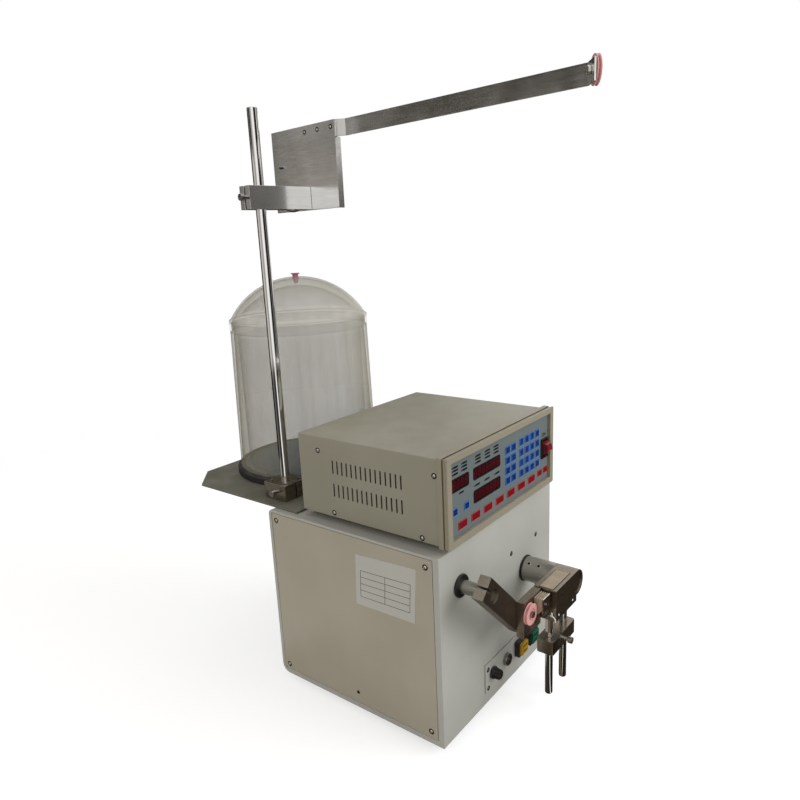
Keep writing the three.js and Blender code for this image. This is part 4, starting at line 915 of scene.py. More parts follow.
def rounded_rectangle(width: float, height: float, radius: float, steps: int = 3) -> list[Flat]:
    """Returns a rectangle with round corners about its middle, counterclockwise."""
    corners = [(1, 1, 0.0), (-1, 1, 0.5), (-1, -1, 1.0), (1, -1, 1.5)]
    points = []
    for side_x, side_z, start in corners:
        for step in range(steps + 1):
            angle = math.pi * (start + step / steps / 2)
            x = side_x * (width / 2 - radius) + radius * math.cos(angle)
            z = side_z * (height / 2 - radius) + radius * math.sin(angle)
            points.append((x, z))
    return points


def plate_mesh(outline: list[Flat], thickness: float, hole: Optional[list[Flat]] = None) -> bpy.types.Mesh:
    """Makes a closed flat plate that looks to the front, its back face at y = 0.

    Args:
        outline: the shape across x and z, in millimetres, counterclockwise as seen from the front.
        thickness: the plate's thickness, in millimetres.
        hole: an opening with as many points as the outline, or None.

    Returns:
        The mesh, in metres.
    """
    count = len(outline)
    rings = [outline] if hole is None else [outline, hole]
    points = [(x * MM, y * MM, z * MM) for y in (0.0, -thickness) for ring in rings for x, z in ring]
    stride = count * len(rings)
    following = [(i + 1) % count for i in range(count)]
    faces: list[tuple[int, ...]] = []
    if hole is None:
        faces += [tuple(range(stride - 1, -1, -1)), tuple(range(stride, stride * 2))]
    else:
        for i, j in enumerate(following):
            faces.append((i, i + count, j + count, j))
            faces.append((i + stride, j + stride, j + count + stride, i + count + stride))
            faces.append((i + count, i + count + stride, j + count + stride, j + count))
    faces += [(i, j, j + stride, i + stride) for i, j in enumerate(following)]
    return closed_mesh(points, faces)


def lathe_mesh(profile: Sequence[Flat], facing: Axis, place: Vector, sides: int = 40) -> bpy.types.Mesh:
    """Turns a profile about an axis into a closed mesh.

    Args:
        profile: the radius and the place along the axis of each point, in millimetres. It starts and ends on
            the axis, or ends where it starts.
        facing: the way that the axis points.
        place: where the axis starts, in metres.
        sides: the faces around.

    Returns:
        The mesh, in metres.
    """
    shape = bmesh.new()
    circle = [(math.cos(a), math.sin(a)) for a in (math.tau * k / sides for k in range(sides))]
    rings = []
    for radius, along in profile:
        spots = circle if radius > 0 else [(0.0, 0.0)]
        rings.append([shape.verts.new((radius * MM * x, radius * MM * y, along * MM)) for x, y in spots])
    for lower, upper in zip(rings, rings[1:]):
        for k in range(sides):
            around = [(lower, k), (lower, (k + 1) % sides), (upper, (k + 1) % sides), (upper, k)]
            unique = list(dict.fromkeys(ring[spot % len(ring)] for ring, spot in around))
            if len(unique) > 2:
                shape.faces.new(unique)
    bmesh.ops.remove_doubles(shape, verts=shape.verts, dist=LATHE_WELD)
    bmesh.ops.recalc_face_normals(shape, faces=shape.faces)
    turn = facing.vector.to_track_quat("Z", "Y").to_matrix().to_4x4()
    shape.transform(Matrix.Translation(place) @ turn)
    return smoothed(taken_from(shape, bpy.data.meshes.new("turned")))


def rod_mesh(route: Sequence[Vector], radius: float) -> bpy.types.Mesh:
    """Makes a bent round wire with closed ends.

    Args:
        route: the points of its centre line, in metres.
        radius: the wire's radius, in millimetres.

    Returns:
        The mesh.
    """
    curve = bpy.data.curves.new("route", "CURVE")
    curve.dimensions = "3D"
    curve.bevel_depth = radius * MM
    curve.bevel_resolution = WIRE_STEPS
    curve.use_fill_caps = True
    spline = curve.splines.new("POLY")
    spline.points.add(len(route) - 1)
    for point, place in zip(spline.points, route):
        point.co = (*place, 1.0)
    return smoothed(evaluated(linked("route", curve)))


def segment_mesh(width: float, height: float, bar: float, thickness: float, slant: float) -> bpy.types.Mesh:
    """Makes one unlit seven-segment digit about its middle.

    Args:
        width, height: the digit's size, in millimetres.
        bar: the width of each bar.
        thickness: the thickness of each bar.
        slant: how far the digit leans, as a share of its height.

    Returns:
        The mesh, in metres, its back at y = 0.
    """
    gap = bar * SEGMENT_GAP
    across, along = (width - bar) / 2, (height - bar) / 2
    level = [(0.0, z) for z in (along, 0.0, -along)]
    upright = [(x, z) for x in (-across, across) for z in (along / 2, -along / 2)]
    sizes = ((width - bar - 2 * gap, bar), (bar, along - 2 * gap))
    meshes = []
    for places, size in zip((level, upright), sizes):
        for x, z in places:
            mesh = plate_mesh(rounded_rectangle(*size, gap, 1), thickness)
            for vertex in mesh.vertices:
                vertex.co.x += x * MM
                vertex.co.z += z * MM
                vertex.co.x += vertex.co.z * slant
            meshes.append(mesh)
    return joined_mesh(meshes)


class Workshop:
    """Turns meshes and CAD nodes into finished pieces that ride on the frame."""

    FLAT_ANGLE = math.radians(0.5)
    NODE_WELD = 0.000002
    PRINT_HEIGHT = 0.04
    PRINT_WEIGHT = 0.025

    def __init__(self, frame: dict) -> None:
        """Takes over the loaded frame.

        Args:
            frame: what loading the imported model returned.
        """
        self.nodes = frame["nodes"]
        bodies = frame["record"]["behaviour"]["bodies"]
        self.body_of = {node: body for body, nodes in bodies.items() for node in nodes}
        self.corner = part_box("cabinet_shell")[0]
        self.palette = Palette()
        self.fastener_trees = {drive: FastenerTree(drive) for drive in Drive}
        self.stamp_tree = StampTree()
        self.count = 0

    def at(self, x: float, y: float, z: float) -> Vector:
        """Returns a place in metres in the row frame, from millimetres off the cabinet's corner."""
        return self.corner + Vector((x, y, z)) * MM

    def span(self, node: str) -> tuple[Vector, Vector]:
        """Returns a CAD node's lowest and highest corners, in millimetres off the cabinet's corner."""
        low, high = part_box(node)
        return (low - self.corner) / MM, (high - self.corner) / MM

    def middle(self, node: str) -> Place:
        """Returns the middle of a CAD node, in millimetres off the cabinet's corner."""
        return tuple((low + high) / 2 for low, high in zip(*self.span(node)))

    def size(self, node: str) -> Place:
        """Returns the size of a CAD node along x, y and z, in millimetres."""
        return tuple(high - low for low, high in zip(*self.span(node)))

    def front(self, node: str) -> float:
        """Returns the place of a CAD node's front, in millimetres off the cabinet's corner."""
        return self.span(node)[0].y

    def put(self, mesh: bpy.types.Mesh, place: Place, quarters: int = 0, axis: str = "X") -> bpy.types.Mesh:
        """Turns a mesh by so many right angles about an axis, moves it to a place and returns it."""
        turn = Matrix.Rotation(quarters * math.pi / 2, 4, axis)
        mesh.transform(Matrix.Translation(self.at(*place)) @ turn)
        return mesh

    def piece(
        self, name: str, mesh: bpy.types.Mesh, body: str, finish: Finish, coated: bool = False
    ) -> bpy.types.Object:
        """Makes a piece that rides on a body.

        Args:
            name: the piece's name.
            mesh: its mesh, in place, in metres.
            body: the CAD body that it moves with.
            finish: its finish, or the main one where it has several.
            coated: whether the mesh has its materials already.

        Returns:
            The piece.
        """
        made = linked(name, mesh)
        if not coated:
            mesh.materials.clear()
            mesh.materials.append(self.palette.get(finish))
        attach(made, body)
        self.count += 1
        LOG.info("piece %s on %s: %d faces", name, body, len(mesh.polygons))
        return made

    def refine(self, node: str, finish: Finish, edge: float) -> bpy.types.Object:
        """Makes the finished form of a CAD node: welded, with its flat faces whole and its edges rounded.

        Args:
            node: the CAD node.
            finish: the finish that it gets.
            edge: how far its sharp edges are rounded, in millimetres.

        Returns:
            The piece that stands for the node.
        """
        mesh = self.nodes[node].data.copy()
        mesh.name = f"{node}_form"
        shape = bmesh.new()
        shape.from_mesh(mesh)
        bmesh.ops.remove_doubles(shape, verts=shape.verts, dist=self.NODE_WELD)
        whole = {"verts": shape.verts, "edges": shape.edges, "use_dissolve_boundaries": False}
        bmesh.ops.dissolve_limit(shape, angle_limit=self.FLAT_ANGLE, **whole)
        many_sided = [face for face in shape.faces if len(face.verts) > 4]
        bmesh.ops.triangulate(shape, faces=many_sided, ngon_method="BEAUTY")
        taken_from(shape, mesh)
        if "custom_normal" in mesh.attributes:
            mesh.attributes.remove(mesh.attributes["custom_normal"])
        smoothed(mesh)
        if edge:
            mesh = rounded_edges(mesh, edge)
        made = self.piece(f"{node}_finished", mesh, self.body_of[node], finish)
        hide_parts(node)
        return made

    @staticmethod
    def grow(
        points: Sequence[Vector], grower: GrowingTree, inputs: dict, turns: Sequence[float] = ()
    ) -> bpy.types.Mesh:
        """Runs a geometry tree on a set of points.

        Args:
            points: the places, in metres.
            grower: the geometry tree.
            inputs: the values of its named inputs.
            turns: each point's own angle, where the tree uses it.

        Returns:
            The mesh that the tree makes.
        """
        mesh = bpy.data.meshes.new("places")
        mesh.from_pydata([tuple(point) for point in points], [], [])
        if turns:
            mesh.attributes.new(StampTree.TURN_MARK, "FLOAT", "POINT").data.foreach_set("value", turns)
        holder = linked("growing", mesh)
        modifier = holder.modifiers.new("tree", "NODES")
        modifier.node_group = grower.tree
        for item in grower.tree.interface.items_tree:
            if item.item_type == "SOCKET" and item.in_out == "INPUT" and item.name in inputs:
                modifier[item.identifier] = inputs[item.name]
        return evaluated(holder)

    def fasteners(
        self,
        name: str,
        body: str,
        places: Iterable[Place],
        facing: Union[Axis, Vector],
        kind: Fastener,
        seed: int,
    ) -> None:
        """Puts equal screws on a body.

        Args:
            name: the piece's name.
            body: the body that they ride on.
            places: where each head sits, in millimetres off the cabinet's corner.
            facing: the way that the heads look.
            kind: the screw.
            seed: what the turn of each recess is drawn from.
        """
        inputs = {label: getattr(kind, size) * MM for label, size in FastenerTree.SIZES.items()}
        inputs["Facing"] = facing.value if isinstance(facing, Axis) else tuple(facing)
        inputs["Seed"] = seed
        inputs["Head Material"] = self.palette.get(kind.finish)
        inputs["Washer Material"] = self.palette.get(kind.washer_finish)
        points = [self.at(*place) for place in places]
        mesh = self.grow(points, self.fastener_trees[kind.drive], inputs)
        self.piece(name, mesh, body, kind.finish, coated=True)

    def stamps(
        self, name: str, body: str, mesh: bpy.types.Mesh, places: Iterable[Place], finish: Finish
    ) -> None:
        """Puts equal thin flat shapes, seen from the front, on a body.

        Args:
            name: the piece's name.
            body: the body that they ride on.
            mesh: the shape about its middle, in metres, its back at y = 0.
            places: where each shape's back face sits.
            finish: the finish.
        """
        shape = linked("stamp", mesh)
        points = [self.at(*place) for place in places]
        inputs = {"Shape": shape, "Material": self.palette.get(finish)}
        grown = self.grow(points, self.stamp_tree, inputs, [0.0] * len(points))
        bpy.data.objects.remove(shape)
        self.piece(name, grown, body, finish, coated=True)

    def lettering(self, name: str, marks: Iterable[tuple[str, Place]], size: float) -> None:
        """Prints plain numbers or words on the stand, read from the front, each centred on its place.

        Args:
            name: the piece's name.
            marks: each text and the place of its middle, in millimetres off the cabinet's corner.
            size: the height of a line, in millimetres.
        """
        meshes = []
        for text, place in marks:
            curve = bpy.data.curves.new("print", "FONT")
            curve.body = text
            curve.size = size * MM
            curve.resolution_u = 2
            curve.extrude = self.PRINT_HEIGHT * MM
            curve.offset = size * self.PRINT_WEIGHT * MM
            curve.align_x = "CENTER"
            curve.align_y = "CENTER"
            meshes.append(self.put(evaluated(linked("print", curve)), place, 1))
        self.piece(name, joined_mesh(meshes), "stand", Palette.PRINT)


# The faces of a box whose points are its lower four corners and then its upper four.
SLAB_FACES = ((3, 2, 1, 0), (4, 5, 6, 7), (0, 1, 5, 4), (1, 2, 6, 5), (2, 3, 7, 6), (3, 0, 4, 7))


@dataclass
class Assembly:
    """A part of the machine: CAD nodes, each with its finish and its rounding, and finer pieces."""

    NODES: ClassVar[tuple[tuple[str, Finish, float], ...]] = ()

    shop: Workshop

    def build(self) -> None:
        """Builds all pieces of the part."""
        for node, finish, edge in self.NODES:
            self.shop.refine(node, finish, edge)
        self.details()

    def details(self) -> None:
        """Adds the finer pieces. Each part has its own."""
        raise NotImplementedError


@dataclass
class Cabinet(Assembly):
    """The spindle cabinet: its shell, side covers, feet, inlet, bushings, front screws and bare label."""

    NODES = (
        ("cabinet_shell", Palette.CABINET, 0.5),
        ("side_panel_left", Palette.SIDE, 0.4),
        ("side_panel_right", Palette.SIDE, 0.4),
        ("foot_front_left", Palette.RUBBER, 0.8),
        ("foot_front_right", Palette.RUBBER, 0.8),
        ("foot_rear_left", Palette.RUBBER, 0.8),
        ("foot_rear_right", Palette.RUBBER, 0.8),
        ("power_inlet", Palette.BLACK, 0.4),
        ("spindle_bushing", Palette.BLACK, 0.3),
        ("traverse_bushing", Palette.BLACK, 0.3),
    )
    cover_screw: Fastener = Fastener(radius=3.1, washer_radius=4.5, washer_height=0.7)
    cover_screw_places: tuple = ((321.2, 283.5), (22.4, 282.8), (320.3, 18.5), (22.4, 20.3))
    flange_screw: Fastener = Fastener(
        radius=2.6, height=1.4, drive=Drive.HEX, recess_radius=1.2, recess_depth=0.9, washer_radius=3.9,
        finish=Palette.DARK_CHROME,
    )
    flange_screw_places: tuple = ((203.1, 224.0), (288.6, 224.1), (203.1, 134.0), (288.6, 134.0))
    plug_place: Place = (0.0, 163.1, 27.8)
    plug_profile: tuple = ((0.0, -0.4), (2.8, -0.4), (2.8, 0.3), (2.1, 0.7), (0.0, 0.8))
    label_corners: tuple = ((150.3, 269.3), (38.4, 275.0), (44.1, 189.0), (154.2, 187.0))
    label_thickness: float = 0.25
    ink_thickness: float = 0.05
    # The ruled box and its lines, as shares of the label's width and height.
    rule_box: tuple = (0.08, 0.92, 0.3, 0.82)
    rule_width: float = 0.008
    upright_width: float = 0.0064
    rule_rows: int = 4

    def details(self) -> None:
        """Adds the screws and the label."""
        self.screws()
        self.label()

    def screws(self) -> None:
        """Puts in the cover screws on both sides, the front screws and the cover's blanking plug, near black
        as painted shade.
        """
        shop = self.shop
        right = shop.span("side_panel_right")[1].x
        for side, x, facing, seed in (("left", 0.0, Axis.LEFT, 11), ("right", right, Axis.RIGHT, 12)):
            places = [(x, y, z) for y, z in self.cover_screw_places]
            shop.fasteners(f"cover_screws_{side}", "stand", places, facing, self.cover_screw, seed)
        fronts = [(x, 0.0, z) for x, z in self.flange_screw_places]
        shop.fasteners("flange_screws", "stand", fronts, Axis.FRONT, self.flange_screw, 13)
        # Near black: the plug paints the shade of its hollow.
        plug = lathe_mesh(self.plug_profile, Axis.LEFT, shop.at(*self.plug_place))
        shop.piece("cover_plug", plug, "stand", Palette.SHADE_BLACK)

    def label(self) -> None:
        """Lays the bare paper label on the left cover, with plain ruled lines on it."""
        paper = self.slab(self.label_corners, 0.0, self.label_thickness)
        self.shop.piece("label", paper, "stand", Palette.PAPER)
        left, right, top, low = self.rule_box
        downs = [top, low] + [top + (low - top) * row / self.rule_rows for row in range(1, self.rule_rows)]
        bars = [(left, right, down, down + self.rule_width) for down in downs]
        bars[2:2] = [(x, x + self.upright_width, top, low) for x in (left, 0.5, right - self.upright_width)]
        far = self.label_thickness + self.ink_thickness
        rules = joined_mesh(self.slab(self.on_label(*bar), self.label_thickness, far) for bar in bars)
        self.shop.piece("label_rules", rules, "stand", Palette.PRINT)

    def on_label(self, left: float, right: float, upper: float, lower: float) -> list[Vector]:
        """Returns the corners of a bar on the label from its edges, as shares of the label."""
        top_back, top_front, low_front, low_back = [Vector(corner) for corner in self.label_corners]
        corners = []
        for across, down in ((left, upper), (right, upper), (right, lower), (left, lower)):
            above, below = top_back.lerp(top_front, across), low_back.lerp(low_front, across)
            corners.append(above.lerp(below, down))
        return corners

    def slab(self, corners: Iterable[Sequence[float]], near: float, far: float) -> bpy.types.Mesh:
        """Makes a thin slab on the left cover from its four corners (y, z), between two distances off it."""
        points = [self.shop.at(-off, y, z) for off in (near, far) for y, z in corners]
        return closed_mesh(points, SLAB_FACES)


@dataclass
class ControlStrip(Assembly):
    """The strip at the lower front: knob, socket, and the yellow and green buttons."""

    NODES = (
        ("control_strip", Palette.CABINET, 0.3),
        ("knob", Palette.BLACK, 0.25),
        ("socket_ring", Palette.DARK_CHROME, 0.25),
        ("yellow_housing", Palette.BLACK, 0.4),
        ("yellow_button", Palette.YELLOW, 0.6),
        ("green_housing", Palette.BLACK, 0.4),
        ("green_button", Palette.GREEN, 0.6),
    )
    screw: Fastener = Fastener(
        radius=2.5, height=1.8, washer_radius=3.9, washer_height=0.5, finish=Palette.DARK_CHROME
    )
    screw_places: tuple = ((122.0, 60.0), (122.5, 27.0), (289.0, 60.0), (288.5, 27.0))
    mark_width: float = 0.62
    mark_height: float = 0.09
    mark_places: tuple = (0.72, 0.3)
    mark_corner: float = 0.5
    mark_thickness: float = 0.12
    pin_count: int = 4
    pin_circle: float = 3.0
    pin_floor: float = 1.8
    pin_sides: int = 16
    pin_profile: tuple = ((0.0, 0.0), (0.7, 0.0), (0.7, 2.0), (0.4, 2.5), (0.0, 2.6))

    def details(self) -> None:
        """Adds the strip's screws, the bars on the lenses and the socket's pins."""
        front = self.shop.front("control_strip")
        places = [(x, front, z) for x, z in self.screw_places]
        self.shop.fasteners("strip_screws", "stand", places, Axis.FRONT, self.screw, 21)
        self.button_marks()
        self.socket_pins()

    def button_marks(self) -> None:
        """Lays two plain dark bars across each lens, their sizes and heights as shares of the lens."""
        for name in ("yellow", "green"):
            lens = f"{name}_button"
            low, middle = self.shop.span(lens)[0], self.shop.middle(lens)
            width, _, height = self.shop.size(lens)
            outline = rounded_rectangle(width * self.mark_width, height * self.mark_height, self.mark_corner)
            places = [(middle[0], low.y, low.z + height * share) for share in self.mark_places]
            bar = plate_mesh(outline, self.mark_thickness)
            self.shop.stamps(f"{name}_lens_bars", f"{name}_push", bar, places, Palette.PRINT)

    def socket_pins(self) -> None:
        """Stands the contact pins in the socket's bore."""
        floor = self.shop.span("socket_ring")[1].y - self.pin_floor
        x, _, z = self.shop.middle("socket_ring")
        pins = []
        for k in range(self.pin_count):
            angle = math.tau * (k + 0.5) / self.pin_count
            across, up = self.pin_circle * math.cos(angle), self.pin_circle * math.sin(angle)
            place = self.shop.at(x + across, floor, z + up)
            pins.append(lathe_mesh(self.pin_profile, Axis.FRONT, place, self.pin_sides))
        self.shop.piece("socket_pins", joined_mesh(pins), "stand", Palette.SCREW)


@dataclass
class Traverse(Assembly):
    """The wire traverse: shaft, clamp arm, guide bar, pad and pulley."""

    NODES = (
        ("traverse_shaft", Palette.NICKEL_TURNED, 0.6),
        ("traverse_arm", Palette.NICKEL_DULL, 0.5),
        ("guide_bar", Palette.NICKEL, 0.4),
        ("guide_pulley", Palette.PINK, 0.5),
        ("guide_axle", Palette.DARK_CHROME, 0.3),
        ("wire_pad", Palette.KHAKI, 0.4),
    )
    keeper_size: tuple = (24.0, 28.0)
    keeper_corner: float = 1.4
    keeper_edge: float = 0.35
    keeper_place: Place = (156.0, -82.3, 181.5)
    keeper_thickness: float = 2.4
    # The white rod that paints the highlight on the keeper's upper edge.
    keeper_edge_highlight_radius: float = 0.7
    keeper_edge_highlight_inset: float = 1.0
    keeper_edge_highlight_lift: float = 0.3
    hook_radius: float = 1.0
    hook_ring_wire: float = 0.9
    hook_ring_radius: float = 3.6
    hook_ring_height: float = 0.75
    hook_ring_turns: Flat = (35.0, 25.0)
    hook_ring_steps: int = 20
    hook_ring_place: Place = (165.6, -88.0, 162.6)
    hook_route: tuple = (
        (164.0, -84.7, 160.6), (166.6, -87.4, 159.4), (168.4, -90.2, 157.0), (169.2, -92.2, 153.4),
        (168.4, -93.4, 149.8),
    )
    nut_profile: tuple = ((0.0, 0.0), (2.5, 0.0), (2.5, 1.6), (1.7, 2.5), (0.0, 2.8))
    nut_sides: int = 24
    nut_places: tuple = ((160.4, -84.7, 162.8), (151.0, -84.7, 186.0))

    def details(self) -> None:
        """Adds the keeper and the hook."""
        self.keeper()
        self.hook()

    def keeper(self) -> None:
        """Screws the thin dark keeper plate to the pad's front, with a thin white rod along its upper edge
        painting the edge's highlight.
        """
        shop = self.shop
        plate = plate_mesh(rounded_rectangle(*self.keeper_size, self.keeper_corner), self.keeper_thickness)
        plate = rounded_edges(shop.put(plate, self.keeper_place), self.keeper_edge)
        shop.piece("pad_keeper", plate, "traverse", Palette.NICKEL)
        x, y, z = self.keeper_place
        half = self.keeper_size[0] / 2 - self.keeper_edge_highlight_inset
        top = z + self.keeper_size[1] / 2 + self.keeper_edge_highlight_lift
        route = [shop.at(end, y - self.keeper_thickness / 2, top) for end in (x - half, x + half)]
        shop.piece("keeper_wire", rod_mesh(route, self.keeper_edge_highlight_radius), "traverse", Palette.GLINT_WHITE)

    def hook(self) -> None:
        """Hangs the small wire hook with its ring and two nuts below the pad."""
        shop = self.shop
        angles = [math.tau * k / self.hook_ring_steps for k in range(self.hook_ring_steps + 1)]
        about_z, about_y = [math.radians(turn) for turn in self.hook_ring_turns]
        lean = Matrix.Rotation(about_z, 3, "Z") @ Matrix.Rotation(about_y, 3, "Y")
        circle = [Vector((math.cos(a), 0.0, math.sin(a) * self.hook_ring_height)) for a in angles]
        centre = shop.at(*self.hook_ring_place)
        ring = [centre + lean @ point * self.hook_ring_radius * MM for point in circle]
        wire = [shop.at(*place) for place in self.hook_route]
        hook = joined_mesh([rod_mesh(ring, self.hook_ring_wire), rod_mesh(wire, self.hook_radius)])
        # The near-white finish paints the hook's glints.
        shop.piece("wire_hook", hook, "traverse", Palette.GLINT_WHITE)
        places = [shop.at(*place) for place in self.nut_places]
        nuts = [lathe_mesh(self.nut_profile, Axis.FRONT, place, self.nut_sides) for place in places]
        shop.piece("keeper_nuts", joined_mesh(nuts), "traverse", Palette.DARK_CHROME)


@dataclass
class WindingTool(Assembly):
    """The spindle's sleeve, the winding tool with its two rods, and the block that slides on them."""

    NODES = (
        ("spindle_sleeve", Palette.NICKEL_TURNED, 0.5),
        ("tool_block", Palette.NICKEL, 0.5),
        ("tool_cover", Palette.KHAKI, 0.5),
        ("rod_left", Palette.CHROME, 0.0),
        ("rod_right", Palette.CHROME, 0.0),
        ("lower_block", Palette.NICKEL, 0.5),
        ("lower_clamp_screw", Palette.SCREW, 0.3),
    )
    # The near-black head paints the shade in the hole; the white washer paints a glint on its rim.
    sleeve_screw: Fastener = Fastener(
        radius=2.6, height=0.8, drive=Drive.HEX, recess_radius=0.9, recess_depth=0.4, washer_radius=3.0,
        washer_height=0.4, finish=Palette.SHADE_BLACK, washer_finish=Palette.GLINT_WHITE,
    )
    sleeve_screw_angle: float = 128.0
    sleeve_screw_places: tuple = (-13.5, -31.0)
    # The black ring that paints the shade in the gap round the tool's cover.
    gap_shade_width: float = 1.3
    gap_shade_corners: tuple = (2.2, 1.0)
    gap_shade_thickness: float = 0.15
    # The white heads paint the set screws' glint; the black washers paint the shade in their holes.
    rod_screw: Fastener = Fastener(
        radius=2.0, height=1.5, drive=Drive.HEX, recess_radius=0.8, recess_depth=0.8, washer_radius=2.4,
        finish=Palette.GLINT_WHITE, washer_finish=Palette.BLACK,
    )
    rod_screw_places: tuple = ((181.0, -91.9, 156.5), (232.0, -91.9, 156.5))
    # The black washers paint the shade in the set screws' holes.
    block_screw: Fastener = Fastener(
        radius=2.2, height=0.5, drive=Drive.HEX, recess_radius=1.5, recess_depth=0.4, washer_radius=2.9,
        washer_height=0.3, finish=Palette.DARK_CHROME, washer_finish=Palette.BLACK,
    )
    block_screw_places: tuple = ((183.9, -91.0, 103.9), (231.6, -91.0, 106.3))

    def details(self) -> None:
        """Adds the grub screws and the painted shade of the gap round the cover."""
        shop = self.shop
        self.sleeve_screws()
        self.cover_gap()
        places = self.rod_screw_places
        shop.fasteners("rod_set_screws", "winding_tool", places, Axis.FRONT, self.rod_screw, 42)
        places = self.block_screw_places
        shop.fasteners("block_set_screws", "sliding_block", places, Axis.FRONT, self.block_screw, 43)

    def sleeve_screws(self) -> None:
        """Sets the two grub screws into the sleeve's upper left."""
        x, _, z = self.shop.middle("spindle_sleeve")
        radius = self.shop.size("spindle_sleeve")[2] / 2
        angle = math.radians(self.sleeve_screw_angle)
        way = Vector((math.cos(angle), 0.0, math.sin(angle)))
        places = [(x + radius * way.x, y, z + radius * way.z) for y in self.sleeve_screw_places]
        self.shop.fasteners("sleeve_set_screws", "winding_tool", places, way, self.sleeve_screw, 41)

    def cover_gap(self) -> None:
        """Lays a black ring round the tool's cover that paints the shade in the gap."""
        x, y, _ = self.shop.middle("tool_cover")
        top = self.shop.span("tool_block")[1].z
        width, depth, _ = self.shop.size("tool_cover")
        grown, (outer, inner) = 2 * self.gap_shade_width, self.gap_shade_corners
        outline = rounded_rectangle(width + grown, depth + grown, outer)
        # The ring paints the gap's shade.
        gap = plate_mesh(outline, self.gap_shade_thickness, rounded_rectangle(width, depth, inner))
        self.shop.piece("cover_gap", self.shop.put(gap, (x, y, top), -1), "winding_tool", Palette.BLACK)


@dataclass
class WireSupply(Assembly):
    """The base plate with its pillar, and the overhead bracket with its arm and pulley."""

    NODES = (
        ("base_plate", Palette.PLATE, 0.5),
        ("pillar_block", Palette.NICKEL, 0.5),
        ("pillar_clamp_screw", Palette.DARK_CHROME, 0.3),
        ("pillar_rod", Palette.CHROME, 0.0),
        ("bracket_bar", Palette.STEEL_BAR, 0.4),
        ("bracket_screw", Palette.DARK_CHROME, 0.3),
        ("guide_plate", Palette.STEEL, 0.3),
        ("guide_arm", Palette.STEEL, 0.3),
        ("tip_pulley", Palette.PINK, 0.5),
        ("tip_axle", Palette.SCREW, 0.3),
    )
    pillar_centre: tuple = (54.0, 351.1)
    bracket_turn: float = 6.47
    corner_inset: float = 8.0
    corner_depth: float = 5.0
    corner_screw: Fastener = Fastener(
        radius=3.6, height=3.2, drive=Drive.HEX, recess_radius=1.7, recess_depth=1.5, washer_radius=3.9,
        washer_height=0.5, finish=Palette.DARK_CHROME,
    )
    # The white head paints the screw's glint; the near-black washer paints the shade round it.
    plate_screw: Fastener = Fastener(
        radius=1.8, height=1.1, drive=Drive.HEX, recess_radius=0.85, recess_depth=0.6, washer_radius=3.6,
        finish=Palette.GLINT_WHITE,
    )
    plate_screw_places: tuple = ((-7.5, 892.5), (-39.0, 892.5), (-71.4, 892.5))
    plate_face: float = 90.4
    pin_ends: tuple = (50.5, 62.5)
    pin_height: float = 845.0
    pin_radius: float = 2.3
    pin_stand: float = 1.2
    bar_screw: Fastener = Fastener(
        radius=9.6, height=4.2, drive=Drive.HEX, recess_radius=3.0, recess_depth=2.0, washer_radius=10.4,
        washer_height=1.8, finish=Palette.DARK_CHROME, washer_finish=Palette.DARK_CHROME,
    )
    bar_screw_place: Place = (62.0, 0.0, 774.0)

    def on_bracket(self, x: float, y: float, z: float) -> Place:
        """Returns a place given along and across the turned bracket, from the pillar's centre line."""
        turn = math.radians(self.bracket_turn)
        centre_x, centre_y = self.pillar_centre
        along, across = math.cos(turn), math.sin(turn)
        return centre_x + x * along + y * across, centre_y - x * across + y * along, z

    def details(self) -> None:
        """Adds the block's cap screws, the plate's small screws and pin, and the screw under the bar."""
        shop = self.shop
        low, high = shop.span("pillar_block")
        inset = self.corner_inset
        columns, rows = (low.x + inset, high.x - inset), (low.y + inset, high.y - inset)
        places = [(x, y, high.z - self.corner_depth) for x in columns for y in rows]
        shop.fasteners("block_corner_screws", "stand", places, Axis.UP, self.corner_screw, 51)
        turn = math.radians(self.bracket_turn)
        away = Vector((-math.cos(turn), math.sin(turn), 0.0))
        places = [self.on_bracket(self.plate_face, y, z) for y, z in self.plate_screw_places]
        shop.fasteners("guide_plate_screws", "overhead_bracket", places, away, self.plate_screw, 52)
        depth = self.plate_face - self.pin_stand
        route = [shop.at(*self.on_bracket(depth, y, self.pin_height)) for y in self.pin_ends]
        pin = rod_mesh(route, self.pin_radius)
        shop.piece("guide_plate_pin", pin, "overhead_bracket", Palette.DARK_CHROME)
        places = [self.on_bracket(*self.bar_screw_place)]
        shop.fasteners("bar_clamp_screw", "overhead_bracket", places, Axis.DOWN, self.bar_screw, 53)


